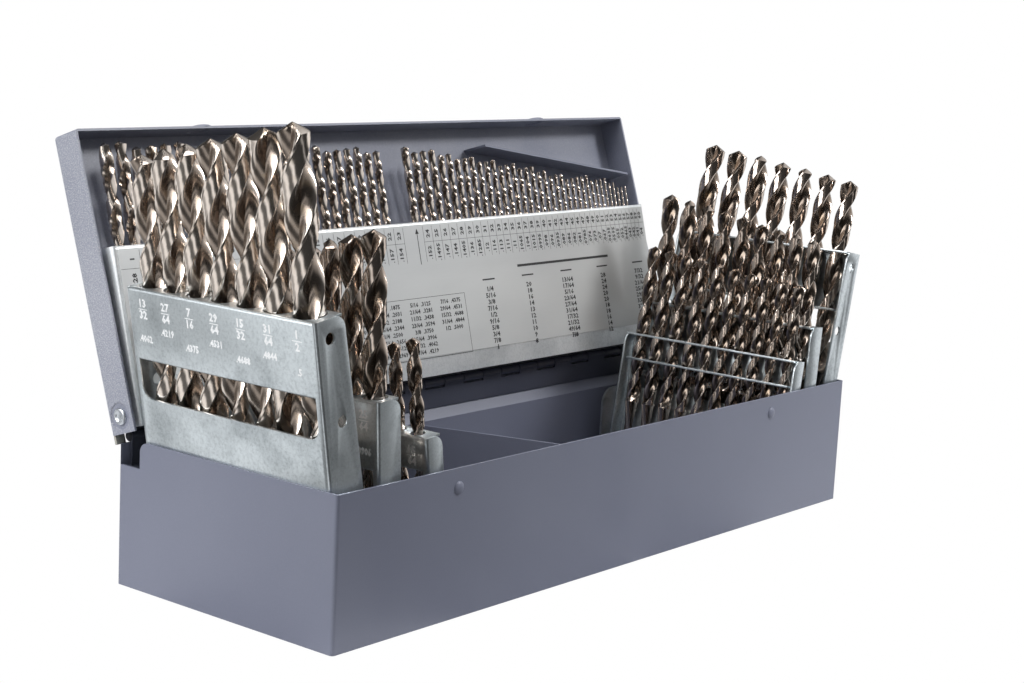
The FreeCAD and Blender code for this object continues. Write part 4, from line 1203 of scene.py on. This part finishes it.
# ---- wire-gauge leaf
@dataclass
class SizePlate:
    """Print on the size plate, in millimetres across and up the plate, in the long leaf's frame.

    It shows each drill's gauge and decimal under its place, a table of plain numbers and one of fractions.
    Places are the drills' middles, split is the number of the drill before the middle gap, half is half
    the leaf's length, and face is the plate's front along Y.
    """

    places: Numbers
    split: int
    half: float
    face: float
    letters: Lettering = field(default_factory=Lettering)
    # Gauges, their decimals and the rules round them.
    gauge_level: float = 61.0
    decimal_level: float = 52.1
    digit: float = 2.2
    digit_share: float = 0.62
    rules: Pair = (48.0, 64.6)
    cross: float = 57.2
    end: float = 176.5
    line: float = 0.16
    split_margin: float = 3.0
    # Pointer between the two halves of the row.
    stem: Four = (-2.0, 46.9, -1.6, 61.5)
    head: Pairs = ((-3.0, 61.2), (-0.6, 61.2), (-1.8, 63.7))
    # Table of plain numbers: its heading bar, and the middle of each column with its numbers.
    heading: Four = (67.0, 40.9, 141.0, 42.1)
    bar: Pair = (36.2, 36.9)
    bar_half: float = 4.5
    table_top: float = 31.8
    table_step: float = 3.12
    columns: tuple[tuple[float, str], ...] = (
        (44.0, "1/4 5/16 3/8 7/16 1/2 9/16 5/8 3/4 7/8 1"),
        (73.8, "20 18 16 14 13 12 11 10 9 8"),
        (104.6, "13/64 17/64 5/16 23/64 27/64 31/64 17/32 21/32 49/64 7/8"),
        (134.7, "28 24 24 20 20 18 18 16 14 12"),
        (165.8, "7/32 9/32 21/64 25/64 29/64 33/64 37/64 11/16 13/16 59/64"))
    # Boxed table of fractions: the box, the width of its line, and the first place with the two steps.
    box: Four = (-60.0, 3.5, 25.0, 31.7)
    box_line: float = 0.2
    fraction: float = 1.9
    first: Pair = (-48.6, 28.6)
    steps: Pair = (21.0, 3.15)
    rows: int = 8

    def skin(self) -> Skin:
        """The whole print."""
        return joined([*self._gauges(), *self._pointer(), *self._table(), *self._fractions()])

    def _rule(self, left: float, low: float, right: float, high: float) -> Skin:
        """Thin printed bar between two corners."""
        return block((left, self.face - INK, low), (right, self.face, high))

    def _write(self, text: str, height: float, across: float, level: float, narrow: float,
               turned: bool = False) -> Skin:
        """Line of numbers on the plate, upright or reading upwards."""
        ways = (UP, Vector((-1, 0, 0))) if turned else (Vector(X), UP)
        return self.letters.put(text, height, (across, self.face, level), *ways, narrow)

    def _gauges(self) -> list[Skin]:
        """Gauge and decimal of each drill, with rules between them and across.

        Returns:
            The marks.
        """
        low, high = self.rules
        marks = []
        pitches = np.diff([-self.half, *self.places, self.half])
        for number, (across, inches) in enumerate(zip(self.places, WIRES), 1):
            height = min(self.digit, self.digit_share * float(pitches[number]))
            for text, level, narrow in ((str(number), self.gauge_level, 1.25),
                                        (decimal(inches), self.decimal_level, 1.2)):
                marks.append(self._write(text, height, across, level, narrow, turned=True))
        for number, (before, after) in enumerate(zip(self.places, self.places[1:]), 1):
            middle = (before + after) / 2
            if number != self.split:
                marks.append(self._rule(middle - self.line / 2, low, middle + self.line / 2, high))
        left = self.places[self.split - 1] + self.split_margin
        right = self.places[self.split] - self.split_margin
        for start, end in ((-self.end, left), (right, self.end)):
            marks.append(self._rule(start, self.cross - self.line / 2, end, self.cross + self.line / 2))
        return marks + [self._rule(left, low, left + self.line, high),
                        self._rule(right - self.line, low, right, high)]

    def _pointer(self) -> list[Skin]:
        """Arrow that points up between the two halves of the row.

        Returns:
            A bar and a three-cornered head.
        """
        head = np.array([(across, depth, level) for depth in (self.face - INK, self.face)
                         for across, level in self.head]) * MM
        sides, ends = np.array([(0, 1, 4, 3), (1, 2, 5, 4), (2, 0, 3, 5)]), np.array([(0, 2, 1), (3, 4, 5)])
        return [self._rule(*self.stem), outward(Skin(head, sides, ends))]

    def _table(self) -> list[Skin]:
        """Table of plain numbers under a heading bar, with a bar over each column.

        Returns:
            The marks.
        """
        marks = [self._rule(*self.heading)]
        for across, texts in self.columns:
            marks.append(self._rule(across - self.bar_half, self.bar[0], across + self.bar_half, self.bar[1]))
            marks += [self._write(text, self.digit, across, self.table_top - self.table_step * row, 1.3)
                      for row, text in enumerate(texts.split())]
        return marks

    def _fractions(self) -> list[Skin]:
        """Boxed table of the fractions with their decimals, filled down its columns.

        Returns:
            The marks.
        """
        left, low, right, high = self.box
        line = self.box_line
        marks = [self._rule(left, high - line, right, high), self._rule(left, low, right, low + line),
                 self._rule(left, low, left + line, high), self._rule(right - line, low, right, high)]
        for number, inches in enumerate(FRACTIONS):
            column, row = divmod(number, self.rows)
            text = f"{Fraction(inches)}  {inches:.4f}".replace("0.", ".")
            marks.append(self._write(text, self.fraction, self.first[0] + self.steps[0] * column,
                                     self.first[1] - self.steps[1] * row, 1.15))
        return marks


@dataclass
class NumberLeaf:
    """Long leaf inside the lid: sixty wire-gauge drills and a printed size plate.

    Its frame: the rivets' axis on X, Z up its plate, Y to its back.
    """

    tilt: float = -14.8
    half: float = 178.4
    front: float = 7.4
    back: float = 4.4
    shelf_low: float = 6.3
    shelf_high: float = 32.4
    row_left: float = 3.0
    row_right: float = 1.6
    label: float = 0.25
    drill_space: float = 13.5
    drill_after: int = 23
    top: float = 66.8
    lip: float = 4.9
    corner: float = 3.4
    rivet_hole: float = 2.06
    centre_hole: float = 2.6
    helix: float = 25.0
    stand: float = 4.0

    def place(self, joints: Joints) -> Matrix:
        """Placement of the leaf's frame.

        Args:
            joints: Joints of the record by name.

        Returns:
            The placement.
        """
        pivot = Vector(joints["number_leaf_tilt"]["pos_m"])
        pivot.x = 0.0
        return Matrix.Translation(pivot) @ Matrix.Rotation(math.radians(self.tilt), 4, "X")

    def row(self) -> list[float]:
        """Row of the sixty drills.

        Returns:
            Middle of each drill along the leaf, in millimetres.
        """
        diameters = [inches * INCH_MM for inches in WIRES]
        length = 2 * self.half - self.row_left - self.row_right
        return row_places(diameters, -self.half + self.row_left, length, {self.drill_after: self.drill_space})

    def build(self, joints: Joints, chance: np.random.Generator) -> None:
        """Make the drills, the folded sheet and the print of the size plate.

        Args:
            joints: Joints of the record by name.
            chance: Source of the drills' turns and tints.
        """
        place, body = self.place(joints), "number_leaf"
        places = self.row()
        slope = (self.shelf_high - self.shelf_low) / (places[-1] - places[0])
        middle = (self.back - self.front + SHEET) / 2
        skins = []
        for inches, eighths, across in zip(WIRES, WIRE_EIGHTHS, places):
            foot = self.shelf_low + slope * (across - places[0]) + inches * INCH_MM / 2 * slope
            drill = TwistDrill(inches, helix=self.helix, tint=float(chance.uniform(0, 1)),
                               turn=float(chance.uniform(0, math.pi)), coarse=True,
                               overall=eighths / 8 * INCH + self.stand * MM)
            skins.append(drill.skin().moved(place @ Matrix.Translation(Vector((across, middle, foot)) * MM)))
        piece("wire_gauge_drills", joined(skins), body, Finishes.DRILL, replaced=["number_bits"])
        piece("wire_gauge_folded_sheet", self.channel(middle).moved(place), body, Finishes.LONG_LEAF,
              replaced=["number_leaf_channel"])
        printed = SizePlate(places, self.drill_after, self.half, -self.front - self.label)
        piece("size_plate_print", printed.skin().moved(place), body, Finishes.PRINT)

    def channel(self, middle: float) -> Skin:
        """Folded sheet of the leaf: plate, ends on the rivets and the drilled top flange.

        Args:
            middle: Where the row of drills runs, along Y.

        Returns:
            The sheet in the leaf's frame.
        """
        front, places = -self.front, self.row()
        holes = [hole((across, middle), inches, around=20) for inches, across in zip(WIRES, places)]
        centre = (places[self.drill_after - 1] + places[self.drill_after]) / 2
        holes.append(circle((centre, middle), self.centre_hole, around=24))
        plate = rectangle((RUN - self.half, -self.lip), (self.half - RUN, self.top - RUN))
        flange = rectangle((SHEET - self.half, front + RUN), (self.half - SHEET, self.back))
        skins = [wall([plate], X, Z, (0, front + SHEET, 0)),
                 wall([flange] + holes, X, Y, (0, 0, self.top - SHEET))]
        end = rounded([(front + RUN, -self.lip, 0), (self.back, -self.lip, self.corner),
                       (self.back, self.top, 0), (front + RUN, self.top, 0)])
        rivet = circle((0, 0), self.rivet_hole)
        for side, first in ((-1, 180), (1, 270)):
            near = -self.half if side < 0 else self.half - SHEET
            skins.append(wall([end, rivet], Y, Z, (near, 0, 0)))
            spot = (side * (self.half - BEND), front + BEND, -self.lip)
            skins.append(fold(self.top + self.lip, first).moved(axes(X, Y, spot)))
        spot = (SHEET - self.half, front + BEND, self.top - BEND)
        skins.append(fold(2 * (self.half - SHEET), 90).moved(axes(Y, Z, spot)))
        return joined(skins)


# ---- case, lid and hinge
@dataclass
class Casework:
    """Fittings of the case and the lid: hinge knuckles, pressed domes, lid rivets and bare heels.

    The lean is the open lid's, in degrees from upright, and all sizes are in millimetres. Those on the lid
    are in a frame on the hinge's axis whose Z runs up the lid.
    """

    pitch: float = 14.0
    gap: float = 0.3
    barrel: float = 2.33
    bore: float = 1.35
    ease: float = 0.25
    pairs: int = 12
    lean: float = 18.8
    half_depth: float = 60.5
    detent_reach: float = 113.0
    detent_height: float = 52.6
    socket_out: float = 7.4
    lid_top: float = 122.7
    lid_half: float = 182.0
    rivet_out: float = 5.5
    rivet_up: float = 7.9
    dish_deep: float = 0.5
    # Rings of the rivet, its tail, shank and hollow head: height over the floor of its dish, and radius.
    rivet: Pairs = (
        (-6.5, 3.2), (-5.3, 3.2), (-5.3, 2.0), (0.0, 2.0), (0.0, 3.5), (0.5, 3.5), (0.85, 3.3),
        (1.08, 2.95), (1.15, 2.55), (1.05, 2.1), (0.75, 1.75), (0.6, 1.4))
    # Rings of the dish: height over the lid's side, and radius.
    dish: Pairs = (
        (-0.7, 2.4), (-0.7, 6.2), (0.02, 6.2), (0.03, 5.95), (-0.12, 5.7), (-0.38, 5.45), (-0.46, 5.05),
        (-0.47, 2.4))
    # Radius and height of the domes on the wall and on the lid.
    wall_dome: Pair = (2.7, 1.1)
    lid_dome: Pair = (5.7, 1.5)
    heel_half: float = 2.35
    heel_up: float = 3.62
    heel_thick: float = 1.16
    heel_round: float = 0.3
    heel_spot: Triple = (178.75, 1.78, 0.98)

    def build(self, joints: Joints) -> None:
        """Make the fittings.

        Args:
            joints: Joints of the record by name.
        """
        axis = Vector(joints["lid_hinge"]["pos_m"])
        axis.x = 0.0
        hinge = Matrix.Translation(axis)
        lid = hinge @ Matrix.Rotation(-math.radians(self.lean), 4, "X")
        self._knuckles(hinge)
        self._bumps(lid)
        self._rivets(lid)
        half, up, edge = self.heel_half, self.heel_up, self.heel_round
        heel = panel([rounded([(-half, -up, edge), (half, -up, edge), (half, 0, 0), (-half, 0, 0)])],
                     self.heel_thick)
        piece("bare_heels", both_ends(heel, lid, Z, self.heel_spot), "lid", Finishes.BARE)

    def _knuckles(self, hinge: Matrix) -> None:
        """Round sleeves of the knuckles, each leaf's on its own body, with their ends turned in.

        Args:
            hinge: Placement of the hinge's axis.
        """
        start = -self.pitch * (self.pairs + 0.5)
        whole, half = self.pitch - self.gap, self.pitch / 2 - self.gap
        base, lid = ([(start + self.pitch * (2 * step + lag), whole) for step in range(self.pairs)]
                     for lag in (1.5, 0.5))
        spans = {"base": [(start, half)] + base, "lid": lid + [(-start - self.pitch / 2, half)]}
        rim = self.barrel - self.ease
        for body, runs in spans.items():
            skins = []
            for low, length in runs:
                profile = [(0, self.bore), (0, rim), (self.ease, self.barrel),
                           (length - self.ease, self.barrel), (length, rim), (length, self.bore)]
                skins.append(lathe(profile, around=28).moved(hinge @ axes(Y, Z, (low, 0, 0))))
            piece(f"{body}_hinge_knuckles", joined(skins), body, Finishes.HINGE)

    def _bumps(self, lid: Matrix) -> None:
        """Pressed domes of the detents on the front wall and on the lid's front flange.

        Args:
            lid: Placement of the lid.
        """
        spot = (self.detent_reach, -self.half_depth, self.detent_height)
        small = both_ends(self._dome(*self.wall_dome), Matrix(), Z, spot)
        piece("detent_domes", small, "base", Finishes.CASE)
        spot = (self.detent_reach, -self.socket_out, self.lid_top)
        large = both_ends(self._dome(*self.lid_dome), lid, Y, spot)
        piece("lid_domes", large, "lid", Finishes.LID)

    @staticmethod
    def _dome(radius: float, rise: float) -> Skin:
        """Shallow dome that rises from Z 0: a quarter of an ellipse turned about its height.

        Args:
            radius: Radius of its foot, in millimetres.
            rise: Its height, in millimetres.

        Returns:
            The dome, with a short skirt below it and a small flat at its top.
        """
        turns = np.linspace(0, math.pi / 2, 7)[:-1]
        bulge = [(rise * math.sin(turn), radius * math.cos(turn)) for turn in turns]
        return lathe([(-0.3, radius * 0.98), *bulge, (rise, radius * 0.06)], around=32)

    def _rivets(self, lid: Matrix) -> None:
        """Rivets with ring-shaped heads, each in a pressed dish of the lid's side.

        Args:
            lid: Placement of the lid.
        """
        floor = self.lid_half - self.dish_deep
        rivet, dish = lathe([(floor + rise, radius) for rise, radius in self.rivet]), lathe(self.dish)
        for side, name in ((-1, "left"), (1, "right")):
            place = lid @ axes((0, side, 0), Z, (0, -self.rivet_out, self.rivet_up))
            out = Matrix.Translation((0, 0, self.lid_half * MM))
            piece(f"{name}_rivet_dish", dish.moved(place @ out), "lid", Finishes.LID)
            piece(f"{name}_lid_rivet", rivet.moved(place), "lid", Finishes.RIVET,
                  replaced=["number_leaf_rivets"])


# ---- the index
def leaf_set() -> list[DrillLeaf]:
    """The six drill leaves with their drills and stamped sizes.

    The numbers are each leaf's lean, inset, shelf, height, foot width, top width and window's span.

    Returns:
        The leaves of each side, from the outer one inwards.
    """
    names = [str(Fraction(numerator, 64)) for numerator in range(4, 33)]
    letters = list("ABCDEFGHIJKLMNOPQRSTUVWXYZ")
    lightening = ((7.0, 7.5), (9.5, 39.5))
    return [
        DrillLeaf("left_outer", Side.LEFT, 9.8, 5.0, 5.1, 87.4, 17.5, 15.0, 42.7, 58.4,
                  FRACTIONS[:21:-1], names[:21:-1], lightening=lightening, steel=Finishes.DRILL),
        DrillLeaf("left_middle", Side.LEFT, 3.8, 4.0, 3.8, 70.6, 12.1, 12.1, 29.6, 43.6,
                  FRACTIONS[21:11:-1], names[21:11:-1]),
        DrillLeaf("left_inner", Side.LEFT, 8.0, 3.4, 5.2, 65.4, 9.2, 9.0, 37.4, 51.4,
                  FRACTIONS[11::-1], names[11::-1]),
        DrillLeaf("right_outer", Side.RIGHT, 11.6, 5.0, 4.5, 92.4, 13.6, 12.7, 47.0, 62.4,
                  LETTERS[:18:-1], letters[:18:-1], lightening=lightening),
        DrillLeaf("right_middle", Side.RIGHT, 4.5, 4.0, 3.6, 69.3, 11.0, 11.0, 29.0, 43.0,
                  LETTERS[18:9:-1], letters[18:9:-1]),
        DrillLeaf("right_inner", Side.RIGHT, 9.0, 3.5, 3.7, 65.4, 9.2, 9.2, 37.9, 51.9,
                  LETTERS[9::-1], letters[9::-1]),
    ]


def dress_nodes(nodes: dict[str, bpy.types.Object]) -> None:
    """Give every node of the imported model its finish.

    Args:
        nodes: Objects of the nodes by name.
    """
    chosen = {
        Finishes.CASE: ["base_shell", "back_liner", "centre_divider", "bit_keeper"],
        Finishes.LID: ["lid_shell"],
        Finishes.HINGE: ["base_hinge_leaf", "lid_hinge_leaf", "hinge_pin"],
        Finishes.BRACKET: ["left_leaf_bracket", "right_leaf_bracket"],
        Finishes.RIVET: ["left_leaf_pivots", "right_leaf_pivots", "number_leaf_rivets"],
        Finishes.PLATE: ["number_size_plate"],
    }
    finishes = {name: finish for finish, names in chosen.items() for name in names}
    for name, node in nodes.items():
        finish = finishes.get(name, Finishes.LEAF)
        node.data.materials.clear()
        node.data.materials.append(finish.value.material())


def main() -> None:
    """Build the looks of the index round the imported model."""
    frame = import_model()
    bpy.context.scene.view_settings.view_transform = "Standard"
    joints = {joint["name"]: joint for joint in frame["joints"]}
    ViewCamera().build()
    Studio().build()
    dress_nodes(frame["nodes"])
    chance = np.random.default_rng(7)
    for leaf in leaf_set():
        leaf.build(joints, chance)
    NumberLeaf().build(joints, chance)
    Casework().build(joints)


if __name__ == "__main__":
    logging.basicConfig(level=logging.INFO, format="%(message)s")
    main()
